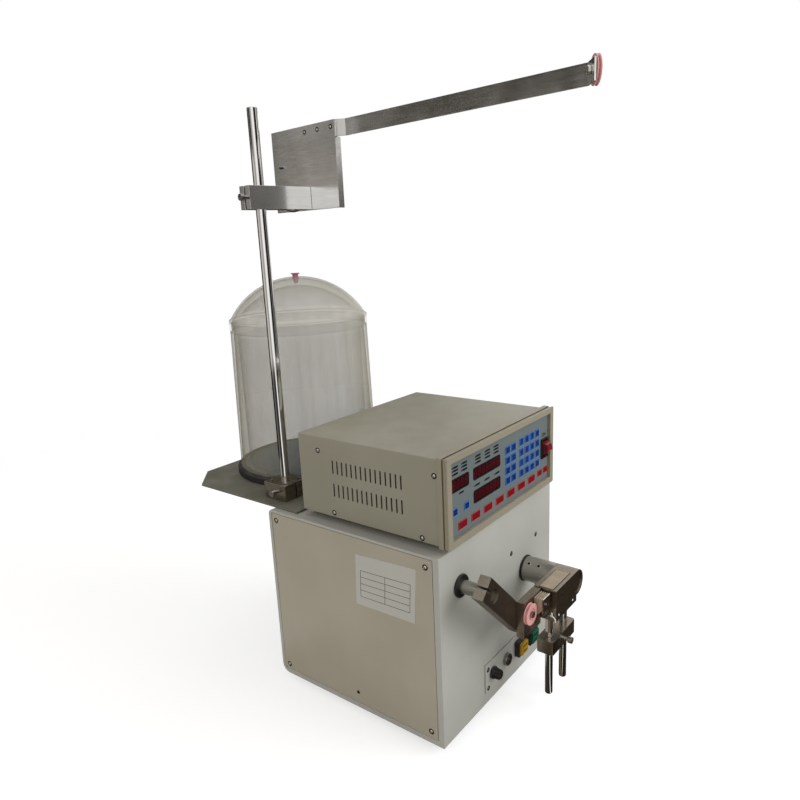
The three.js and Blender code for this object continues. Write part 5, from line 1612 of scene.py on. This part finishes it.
@dataclass
class WireTank(Assembly):
    """The clear tank on its black ring, with felt inside and a lid with an eyelet."""

    NODES = (
        ("tank_base", Palette.RUBBER, 0.8),
        ("tank_felt", Palette.FELT, 0.0),
        ("tank_wall", Palette.CLEAR, 0.4),
        ("tank_lid", Palette.LID_CLEAR, 0.4),
        ("tank_eyelet", Palette.MAGENTA, 0.3),
    )
    centre: Place = (200.4, 440.8, 0.0)
    film: float = 0.7
    sides: int = 96
    sleeve_radius: float = 113.0
    sleeve_span: tuple = (320.4, 562.0)
    dome_radius: float = 104.0
    dome_span: tuple = (600.0, 647.0)
    dome_steps: int = 16
    tail_sides: int = 32
    # The tail's radii and its depths below the eyelet.
    tail_profile: tuple = ((0.0, 7.0), (3.0, 7.0), (3.6, 6.4), (5.2, 0.0), (0.0, 0.0))

    def details(self) -> None:
        """Adds the thin clear sleeve in the tank, and the inner dome and the eyelet's tail in the lid."""
        low, high = self.sleeve_span
        outer, inner = self.sleeve_radius, self.sleeve_radius - self.film
        sleeve = [(inner, low), (outer, low), (outer, high), (inner, high), (inner, low)]
        self.turned("tank_sleeve", "stand", sleeve, self.sides, Palette.LINER)
        self.turned("lid_inner_dome", "lid", self.dome(), self.sides, Palette.LINER)
        top = self.shop.span("tank_eyelet")[0].z
        tail = [(radius, top - depth) for radius, depth in self.tail_profile]
        self.turned("eyelet_tail", "lid", tail, self.tail_sides, Palette.MAGENTA)

    def turned(self, name: str, body: str, profile: Sequence[Flat], sides: int, finish: Finish) -> None:
        """Makes a piece that is turned about the tank's own axis."""
        mesh = lathe_mesh(profile, Axis.UP, self.shop.at(*self.centre), sides)
        self.shop.piece(name, mesh, body, finish)

    def dome(self) -> list[Flat]:
        """Returns the profile of the thin inner dome: out along its underside and back over its top."""
        low, high = self.dome_span
        rise = high - low
        curve = (self.dome_radius**2 + rise**2) / (2 * rise)
        spread = math.asin(self.dome_radius / curve)
        angles = [spread * k / self.dome_steps for k in range(self.dome_steps + 1)]
        inner = curve - self.film
        under = [(inner * math.sin(a), high - curve + inner * math.cos(a)) for a in angles]
        over = [(curve * math.sin(a), high - curve + curve * math.cos(a)) for a in reversed(angles)]
        return [(0.0, under[0][1]), *under[1:], *over[:-1], (0.0, high)]


@dataclass(frozen=True)
class KeyGroup:
    """A block of equal keys on the panel, placed by the lower left corner of its first key."""

    name: str
    corner: Flat
    columns: int
    rows: int
    pitch: Flat
    size: Flat
    edge_highlight: Finish

    def centres(self) -> list[Flat]:
        """Returns the middle of each key across x and z, row by row from the top left."""
        left, low = self.corner[0] + self.size[0] / 2, self.corner[1] + self.size[1] / 2
        return [
            (left + self.pitch[0] * column, low + self.pitch[1] * row)
            for row in reversed(range(self.rows))
            for column in range(self.columns)
        ]


@dataclass
class ControlBox(Assembly):
    """The control box: vented case, bezel, key panel with its keys, windows and rocker."""

    NODES = (
        ("controller_case", Palette.CASE, 0.3),
        ("controller_rear_panel", Palette.CASE, 0.3),
        ("controller_foot_front_left", Palette.RUBBER, 0.4),
        ("controller_foot_front_right", Palette.RUBBER, 0.4),
        ("controller_foot_rear_left", Palette.RUBBER, 0.4),
        ("controller_foot_rear_right", Palette.RUBBER, 0.4),
        ("controller_bezel", Palette.BEZEL, 0.5),
        ("display_count", Palette.WINDOW, 0.2),
        ("display_upper", Palette.WINDOW, 0.2),
        ("display_lower", Palette.WINDOW, 0.2),
        ("rocker_housing", Palette.BLACK, 0.4),
        ("rocker", Palette.RED, 0.5),
    )
    key_groups: tuple = (
        KeyGroup("number", (219.2, 348.1), 4, 4, (18.0, 17.0), (14.5, 13.4), Palette.BLUE_KEY_HIGHLIGHT),
        KeyGroup("function", (174.8, 349.4), 2, 4, (18.2, 16.2), (15.5, 13.2), Palette.BLUE_KEY_HIGHLIGHT),
        KeyGroup("shift", (28.5, 351.5), 2, 1, (29.6, 16.0), (13.0, 11.5), Palette.BLUE_KEY_HIGHLIGHT),
        KeyGroup("command", (41.7, 327.5), 7, 1, (34.5, 16.0), (23.5, 12.0), Palette.RED_KEY_HIGHLIGHT),
        KeyGroup("status", (282.0, 329.5), 2, 1, (20.5, 16.0), (16.0, 11.0), Palette.RED_KEY_HIGHLIGHT),
    )
    panel_edge: float = 0.2
    key_rise: float = 0.5
    red_below: float = 343.0
    key_corner: float = 1.2
    key_lip: float = 0.3
    # The pale outline that paints each key's edge highlight.
    edge_highlight_width: float = 0.95
    edge_highlight_corner: float = 0.6
    edge_highlight_thickness: float = 0.06
    ink_thickness: float = 0.05
    number_prints: tuple = ("7", "8", "9", "", "4", "5", "6", "", "1", "2", "3", "", "0", "", "", "")
    print_size: float = 10.0
    key_bar: tuple = (8.4, 2.0, 0.5)
    key_bar_places: tuple = (1.8, -1.8)
    window_border: float = 0.5
    window_corner: float = 3.0
    window_corner_steps: int = 5
    window_inset: float = 2.4
    window_hole_corner: float = 2.2
    border_thickness: float = 0.3
    digit_counts: tuple = (("count", 4), ("upper", 7), ("lower", 7))
    digit_margin: float = 1.5
    digit_width: float = 0.62
    digit_height: float = 0.66
    digit_bar: float = 1.25
    digit_slant: float = 0.12
    legend_columns: tuple = ((37.4, 60.6), (96.6, 122.8, 147.6))
    legend_rows: tuple = (420.8, 416.3, 411.2)
    legend_singles: tuple = ((93.4, 378.4), (120.5, 378.4), (149.6, 378.4), (50.6, 380.6))
    legend_bar: tuple = (12.0, 2.8, 0.6)
    legend_bar_shift: float = 1.5
    legend_lamp: tuple = (2.2, 2.2, 1.09)
    legend_lamp_shift: float = -6.5
    legend_lamp_height: float = 0.4
    word_size: float = 9.0
    word_lift: float = 6.0
    # The dark strips that paint the shade in the bezel's groove.
    groove_shade_inset: float = 1.6
    groove_shade_widths: tuple = (2.4, -0.6)
    groove_shade_corners: tuple = (3.0, 2.4)
    groove_shade_thickness: float = 0.9
    groove_shade_places: tuple = (-7.9, -2.0)
    # The dark sheets that paint the shade behind the vent slots.
    shade_sheet_size: tuple = (146.0, 72.0, 2.0)
    shade_sheet_thickness: float = 1.0
    shade_sheet_middle: Flat = (134.5, 63.0)
    shade_sheet_inset: float = 3.5
    side_screw: Fastener = Fastener(radius=2.8, height=2.0)
    side_screw_places: tuple = ((228.1, 414.1), (12.7, 412.3), (202.1, 318.0), (36.3, 317.0))

    def details(self) -> None:
        """Adds the keys with their marks and painted edge highlights, the windows, painted shade in the
        groove and vents, and the side screws.
        """
        self.keys()
        self.key_edge_highlights()
        self.key_prints()
        self.windows()
        self.legends()
        self.groove_shades()
        self.vent_shade_sheets()
        low, high = self.shop.span("controller_case")
        for side, x, facing, seed in (("left", low.x, Axis.LEFT, 61), ("right", high.x, Axis.RIGHT, 62)):
            places = [(x, y, z) for y, z in self.side_screw_places]
            self.shop.fasteners(f"case_screws_{side}", "stand", places, facing, self.side_screw, seed)

    def keys(self) -> None:
        """Finishes the key panel, its raised keys in red and blue."""
        mesh = self.shop.refine("membrane_panel", Palette.MEMBRANE, self.panel_edge).data
        for finish in (Palette.BLUE_KEY, Palette.RED_KEY):
            mesh.materials.append(self.shop.palette.get(finish))
        front = self.shop.at(0.0, self.shop.front("membrane_panel"), 0.0).y
        red_line = self.shop.at(0.0, 0.0, self.red_below).z
        for face in mesh.polygons:
            if face.center.y < front + self.key_rise * MM:
                face.material_index = 2 if face.center.z < red_line else 1

    def key_edge_highlights(self) -> None:
        """Lays a pale outline round the face of every key, painting the highlight on its raised edge."""
        front = self.shop.front("membrane_panel")
        for group in self.key_groups:
            width, height = group.size
            lip, shrunk = self.key_lip, 2 * self.edge_highlight_width
            outline = rounded_rectangle(width - lip, height - lip, self.key_corner)
            hole = rounded_rectangle(width - shrunk, height - shrunk, self.key_corner * self.edge_highlight_corner)
            frame = plate_mesh(outline, self.edge_highlight_thickness, hole)
            places = [(x, front, z) for x, z in group.centres()]
            self.shop.stamps(f"{group.name}_key_outlines", "stand", frame, places, group.edge_highlight)

    def key_prints(self) -> None:
        """Prints plain numbers on the number keys and short bars on the other blue ones."""
        front = self.shop.front("membrane_panel")
        numbers, blank = [], []
        for group in self.key_groups:
            centres = group.centres()
            texts = self.number_prints if group.name == "number" else [""] * len(centres)
            numbers += [(text, (x, front, z)) for text, (x, z) in zip(texts, centres) if text]
            if group.edge_highlight is Palette.BLUE_KEY_HIGHLIGHT:
                bare = [(x, z) for text, (x, z) in zip(texts, centres) if not text]
                blank += [(x, front, z + off) for x, z in bare for off in self.key_bar_places]
        self.shop.lettering("key_numbers", numbers, self.print_size)
        bar = plate_mesh(rounded_rectangle(*self.key_bar), self.ink_thickness)
        self.shop.stamps("key_bars", "stand", bar, blank, Palette.PRINT)

    def windows(self) -> None:
        """Frames the three windows in black and sets their unlit digits."""
        shop = self.shop
        for name, count in self.digit_counts:
            window = f"display_{name}"
            low, (width, _, height), (x, _, z) = shop.span(window)[0], shop.size(window), shop.middle(window)
            grown, corner = 2 * self.window_border, self.window_corner + self.window_border
            outline = rounded_rectangle(width + grown, height + grown, corner, self.window_corner_steps)
            hole_size = (width - self.window_inset, height - self.window_inset)
            hole = rounded_rectangle(*hole_size, self.window_hole_corner, self.window_corner_steps)
            border = plate_mesh(outline, self.border_thickness, hole)
            shop.stamps(f"window_border_{name}", "stand", border, [(x, low.y, z)], Palette.BLACK)
            pitch = (width - 2 * self.digit_margin) / count
            digit_size = (pitch * self.digit_width, height * self.digit_height)
            digit = segment_mesh(*digit_size, self.digit_bar, self.ink_thickness, self.digit_slant)
            places = [(low.x + self.digit_margin + pitch * (k + 0.5), low.y, z) for k in range(count)]
            shop.stamps(f"unlit_digits_{name}", "stand", digit, places, Palette.SEGMENT)

    def legends(self) -> None:
        """Prints the short legend bars with their small lamps, and the word over the rocker."""
        front = self.shop.front("display_count")
        spots = [(x, z) for columns in self.legend_columns for x in columns for z in self.legend_rows]
        spots += self.legend_singles
        bar = plate_mesh(rounded_rectangle(*self.legend_bar), self.ink_thickness)
        places = [(x + self.legend_bar_shift, front, z) for x, z in spots]
        self.shop.stamps("legend_bars", "stand", bar, places, Palette.PRINT)
        lamp = plate_mesh(rounded_rectangle(*self.legend_lamp), self.legend_lamp_height)
        places = [(x + self.legend_lamp_shift, front, z) for x, z in spots[:-1]]
        self.shop.stamps("legend_lamps", "stand", lamp, places, Palette.WINDOW)
        height = self.shop.span("rocker_housing")[1].z + self.word_lift
        word = ("ON", (self.shop.middle("rocker_housing")[0], front, height))
        self.shop.lettering("rocker_word", [word], self.word_size)

    def groove_shades(self) -> None:
        """Lays a thin dark strip at each side of the groove that runs round the bezel, painting the shade in
        the groove.
        """
        x, _, z = self.shop.middle("controller_bezel")
        width, _, height = [length - 2 * self.groove_shade_inset for length in self.shop.size("controller_bezel")]
        outline, hole = [
            rounded_rectangle(width + grown, height + grown, corner)
            for grown, corner in zip(self.groove_shade_widths, self.groove_shade_corners)
        ]
        places = [(x, y, z) for y in self.groove_shade_places]
        groove_shade = plate_mesh(outline, self.groove_shade_thickness, hole)
        self.shop.stamps("bezel_seals", "stand", groove_shade, places, Palette.GROOVE_SHADE)

    def vent_shade_sheets(self) -> None:
        """Stands a dark sheet behind the slots in each side of the case, painting the shade inside it."""
        low, high = self.shop.span("controller_case")
        middle, rise = self.shade_sheet_middle
        for side, x in (("left", low.x + self.shade_sheet_inset), ("right", high.x - self.shade_sheet_inset)):
            shade_sheet = plate_mesh(rounded_rectangle(*self.shade_sheet_size), self.shade_sheet_thickness)
            shade_sheet = self.shop.put(shade_sheet, (x, middle, low.z + rise), 1, "Z")
            self.shop.piece(f"vent_liner_{side}", shade_sheet, "stand", Palette.BLACK)


@dataclass(frozen=True)
class Flag:
    """A curved cloth that stands round the machine, shown only in what mirrors it. Degrees and metres."""

    name: str
    start: float
    end: float
    low: float
    high: float
    shade: Colour
    radius: float = 3.2
    centre: Flat = (0.0, 0.0)

    def edges(self) -> tuple[Flat, Flat]:
        """Returns the radius and the height of the cloth's two long edges."""
        return (self.radius, self.low), (self.radius, self.high)


@dataclass(frozen=True)
class Mat:
    """A slice of mat about a point on the floor, shown only in what mirrors it. Degrees and metres."""

    name: str
    start: float
    end: float
    inner: float
    outer: float
    shade: Colour
    height: float = 0.002
    centre: Flat = (-0.1175, 0.152)
    least: float = 0.001

    def edges(self) -> tuple[Flat, Flat]:
        """Returns the radius and the height of the mat's two round edges."""
        return (max(self.inner, self.least), self.height), (self.outer, self.height)


@dataclass(frozen=True)
class RodMat(Mat):
    """A mat for what the winding tool's rods mirror, about the point on the floor below them."""

    height: float = 0.004
    centre: Flat = (0.035, -0.28)


@dataclass(frozen=True)
class HeadMat(RodMat):
    """A wider mat for what the winding head mirrors, under the rods' mats."""

    height: float = 0.003


@dataclass(frozen=True)
class Lamp:
    """A wide soft lamp that looks at the machine's middle. Metres and watts."""

    name: str
    place: Place
    power: float
    colour: Colour
    size: float = 1.8
    aim: Place = (0.0, 0.0, 0.4)


@dataclass
class Studio:
    """A pale floor, soft lamps, cloths for the metal to mirror, and the camera at the photograph's view."""

    camera_place: Place = (-0.8458, -0.6775, 0.7321)
    camera_heading: float = 52.5216
    camera_pitch: float = -13.6444
    camera_roll: float = -2.4830
    focal_pixels: float = 671.58
    frame_pixels: float = 800.0
    centre_pixels: Flat = (408.547, 402.395)
    sensor: float = 36.0
    clip: Flat = (0.01, 60.0)
    ambient: float = 0.6
    ambient_colour: Colour = (1.0, 0.995, 0.98)
    floor_half: float = 9.0
    floor_colour: Colour = (0.75, 0.75, 0.74)
    floor_shaded: Colour = (0.5, 0.5, 0.5)
    floor_glow: float = 0.62
    floor_fade: Flat = (0.9, 2.4)
    cloth_step: float = 6.0
    flags: tuple = (
        Flag("flag_back", 30.0, 62.0, 0.0, 2.4, (0.05, 0.045, 0.04)),
        Flag("flag_back_left", 62.0, 118.0, 0.0, 2.4, (0.005, 0.005, 0.004)),
        Flag("flag_left_near", 118.0, 123.8, 0.0, 1.5, (0.41, 0.39, 0.36)),
        Flag("flag_left_mid", 123.8, 136.0, 0.0, 1.24, (0.36, 0.34, 0.31)),
        Flag("flag_left_low", 136.0, 164.0, 0.0, 1.24, (0.62, 0.59, 0.55)),
        Flag("flag_left_high", 123.8, 164.0, 1.24, 2.4, (0.045, 0.038, 0.03)),
        Flag("flag_left_far", 164.0, 184.0, 0.0, 2.4, (0.33, 0.32, 0.3)),
        Flag("flag_left_front", 184.0, 200.0, 0.0, 2.4, (0.55, 0.54, 0.52)),
        Flag("flag_corner", 245.0, 256.0, 0.0, 2.4, (0.16, 0.15, 0.14)),
        Flag("flag_front", 256.0, 288.0, 0.0, 2.4, (0.01, 0.009, 0.008)),
        Flag("flag_front_right", 288.0, 300.5, 0.0, 2.4, (0.12, 0.115, 0.105)),
        Flag("flag_front_edge", 300.5, 303.0, 0.0, 2.4, (0.4, 0.39, 0.37)),
        Flag("flag_window_low", 303.0, 314.0, 0.0, 1.2, (0.06, 0.055, 0.048)),
        Flag("flag_window_high", 303.0, 314.0, 1.65, 2.4, (0.08, 0.072, 0.065)),
        Flag("flag_right", 314.0, 330.0, 0.0, 2.4, (0.05, 0.045, 0.04)),
        Flag("flag_right_pale", 330.0, 352.0, 0.0, 2.4, (0.24, 0.23, 0.21)),
        Flag("flag_right_low", 352.0, 390.0, 0.0, 0.35, (0.03, 0.027, 0.023)),
        Flag("flag_right_high", 352.0, 390.0, 1.5, 2.4, (0.66, 0.6, 0.52)),
    )
    mats: tuple = (
        Mat("mat_near_left", 118.0, 150.0, 0.3, 1.2, (0.34, 0.33, 0.3)),
        Mat("mat_far_left", 118.0, 135.0, 1.2, 3.2, (0.01, 0.009, 0.008)),
        Mat("mat_far_pale", 135.0, 165.0, 1.2, 3.2, (0.13, 0.125, 0.115)),
        Mat("mat_near_pale", 150.0, 165.0, 0.3, 1.2, (0.13, 0.125, 0.115)),
        Mat("mat_left_front", 165.0, 213.0, 0.3, 3.2, (0.04, 0.037, 0.032)),
        Mat("mat_corner", 235.0, 246.0, 0.3, 3.2, (0.22, 0.21, 0.2)),
        Mat("mat_front", 246.0, 330.0, 0.3, 3.2, (0.008, 0.007, 0.006)),
        Mat("mat_right", 330.0, 352.0, 0.3, 3.2, (0.12, 0.11, 0.1)),
        Mat("mat_back", 352.0, 478.0, 0.3, 3.2, (0.012, 0.011, 0.01)),
        RodMat("mat_rod_left", 130.0, 214.0, 0.0, 0.2, (0.03, 0.027, 0.024)),
        RodMat("mat_rod_gap", 214.0, 228.0, 0.0, 0.2, (1.0, 1.0, 0.98)),
        RodMat("mat_rod_front", 228.0, 318.0, 0.0, 0.2, (0.012, 0.011, 0.01)),
        HeadMat("mat_head_left", 100.0, 227.0, 0.0, 0.55, (0.15, 0.105, 0.065)),
        HeadMat("mat_head_front", 227.0, 310.0, 0.0, 0.55, (0.05, 0.045, 0.04)),
        HeadMat("mat_head_right", 310.0, 460.0, 0.0, 0.55, (0.065, 0.052, 0.038)),
    )
    lamps: tuple = (
        Lamp("front", (0.9, -2.2, 1.5), 46.0, (0.98, 1.0, 1.03)),
        Lamp("left", (-2.4, 0.2, 1.3), 13.0, (1.0, 0.94, 0.84)),
        Lamp("above", (0.4, 0.6, 2.6), 4.4, (1.0, 0.99, 0.96)),
    )

    def build(self) -> None:
        """Builds the camera, the world, the floor, the cloths and the lamps."""
        bpy.context.scene.view_settings.view_transform = "Standard"
        self.camera()
        self.world()
        self.floor()
        for cloth in (*self.flags, *self.mats):
            self.cloth(cloth)
        for lamp in self.lamps:
            self.lamp(lamp)

    def cloth(self, plan: Union[Flag, Mat]) -> None:
        """Hangs or lays a cloth of one even shade, which only mirrored rays see.

        Args:
            plan: where it stands or lies and how dark it is.
        """
        sweep = plan.end - plan.start
        steps = max(2, round(sweep / self.cloth_step))
        angles = [math.radians(plan.start + sweep * k / steps) for k in range(steps + 1)]
        x, y = plan.centre
        points = [(x + r * math.cos(a), y + r * math.sin(a), z) for a in angles for r, z in plan.edges()]
        mesh = bpy.data.meshes.new(plan.name)
        mesh.from_pydata(points, [], [(2 * k, 2 * k + 1, 2 * k + 3, 2 * k + 2) for k in range(steps)])
        made = bpy.data.materials.new(plan.name)
        graph = Graph.cleared(made)
        made.cycles.emission_sampling = "NONE"
        glow = graph.first("ShaderNodeEmission", {"Color": opaque(plan.shade), "Strength": 1.0})
        graph.node("ShaderNodeOutputMaterial", {"Surface": glow})
        mesh.materials.append(made)
        cloth = linked(plan.name, mesh)
        for kind in ("camera", "diffuse", "shadow", "transmission", "volume_scatter"):
            setattr(cloth, f"visible_{kind}", False)

    def camera(self) -> None:
        """Places the camera, its turns given as a heading from the back, a pitch and a roll, in degrees."""
        lens = bpy.data.cameras.new("view")
        lens.sensor_width = self.sensor
        lens.lens = self.focal_pixels / self.frame_pixels * self.sensor
        lens.shift_x = (self.frame_pixels / 2 - self.centre_pixels[0]) / self.frame_pixels
        lens.shift_y = (self.centre_pixels[1] - self.frame_pixels / 2) / self.frame_pixels
        lens.clip_start, lens.clip_end = self.clip
        turn = Matrix.Rotation(-math.radians(self.camera_heading), 4, "Z")
        turn = turn @ Matrix.Rotation(math.radians(90 + self.camera_pitch), 4, "X")
        turn = turn @ Matrix.Rotation(math.radians(self.camera_roll), 4, "Z")
        camera = linked("view", lens)
        camera.matrix_world = Matrix.Translation(self.camera_place) @ turn
        bpy.context.scene.camera = camera

    @staticmethod
    def seen(graph: Graph) -> Socket:
        """Returns one for the rays that show the background: camera, glossy and transmitted ones."""
        rays = graph.node("ShaderNodeLightPath").outputs
        first = graph.maths("MAXIMUM", rays["Is Camera Ray"], rays["Is Glossy Ray"])
        return graph.maths("MAXIMUM", first, rays["Is Transmission Ray"])

    def world(self) -> None:
        """Makes a world that is white where it is seen and soft where it lights."""
        world = bpy.data.worlds.new("studio")
        graph = Graph.cleared(world)
        feeds = {"Color": opaque(self.ambient_colour), "Strength": self.ambient}
        light = graph.first("ShaderNodeBackground", feeds)
        white = graph.first("ShaderNodeBackground", {"Color": (1.0, 1.0, 1.0, 1.0), "Strength": 1.0})
        mix = graph.first("ShaderNodeMixShader", {0: self.seen(graph), 1: light, 2: white})
        graph.node("ShaderNodeOutputWorld", {"Surface": mix})
        bpy.context.scene.world = world

    def floor(self) -> None:
        """Lays a pale floor that looks white and keeps a soft shadow."""
        half = self.floor_half
        mesh = bpy.data.meshes.new("floor")
        corners = [(-half, -half, 0.0), (half, -half, 0.0), (half, half, 0.0), (-half, half, 0.0)]
        mesh.from_pydata(corners, [], [(0, 1, 2, 3)])
        made = bpy.data.materials.new("floor")
        graph = Graph.cleared(made)
        plain = graph.first("ShaderNodeBsdfDiffuse", {"Color": opaque(self.floor_colour)})
        shaded = graph.first("ShaderNodeBsdfDiffuse", {"Color": opaque(self.floor_shaded)})
        glow = graph.first("ShaderNodeEmission", {"Strength": self.floor_glow})
        near = graph.first("ShaderNodeAddShader", {0: shaded, 1: glow})
        far = graph.first("ShaderNodeEmission", {"Strength": 1.0})
        away = graph.node("ShaderNodeVectorMath", {0: graph.coordinates()}, operation="LENGTH")
        share = graph.ramp(away.outputs["Value"], *self.floor_fade)
        bright = graph.first("ShaderNodeMixShader", {0: share, 1: near, 2: far})
        mix = graph.first("ShaderNodeMixShader", {0: self.seen(graph), 1: plain, 2: bright})
        graph.node("ShaderNodeOutputMaterial", {"Surface": mix})
        mesh.materials.append(made)
        linked("floor", mesh)

    @staticmethod
    def lamp(plan: Lamp) -> None:
        """Hangs one square lamp, which no mirrored ray sees.

        Args:
            plan: the lamp's place, power and colour.
        """
        light = bpy.data.lights.new(plan.name, "AREA")
        light.size = plan.size
        light.energy = plan.power
        light.color = plan.colour
        lamp = linked(plan.name, light)
        place = Vector(plan.place)
        turn = (Vector(plan.aim) - place).to_track_quat("-Z", "Y").to_matrix().to_4x4()
        lamp.matrix_world = Matrix.Translation(place) @ turn
        lamp.visible_glossy = False


def main() -> None:
    """Loads the frame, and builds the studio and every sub-assembly."""
    logging.basicConfig(level=logging.INFO, format="%(message)s")
    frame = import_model()
    Studio().build()
    shop = Workshop(frame)
    for assembly in (Cabinet, ControlStrip, Traverse, WindingTool, WireSupply, WireTank, ControlBox):
        assembly(shop).build()
    LOG.info("built %d pieces", shop.count)


if __name__ == "__main__":
    main()
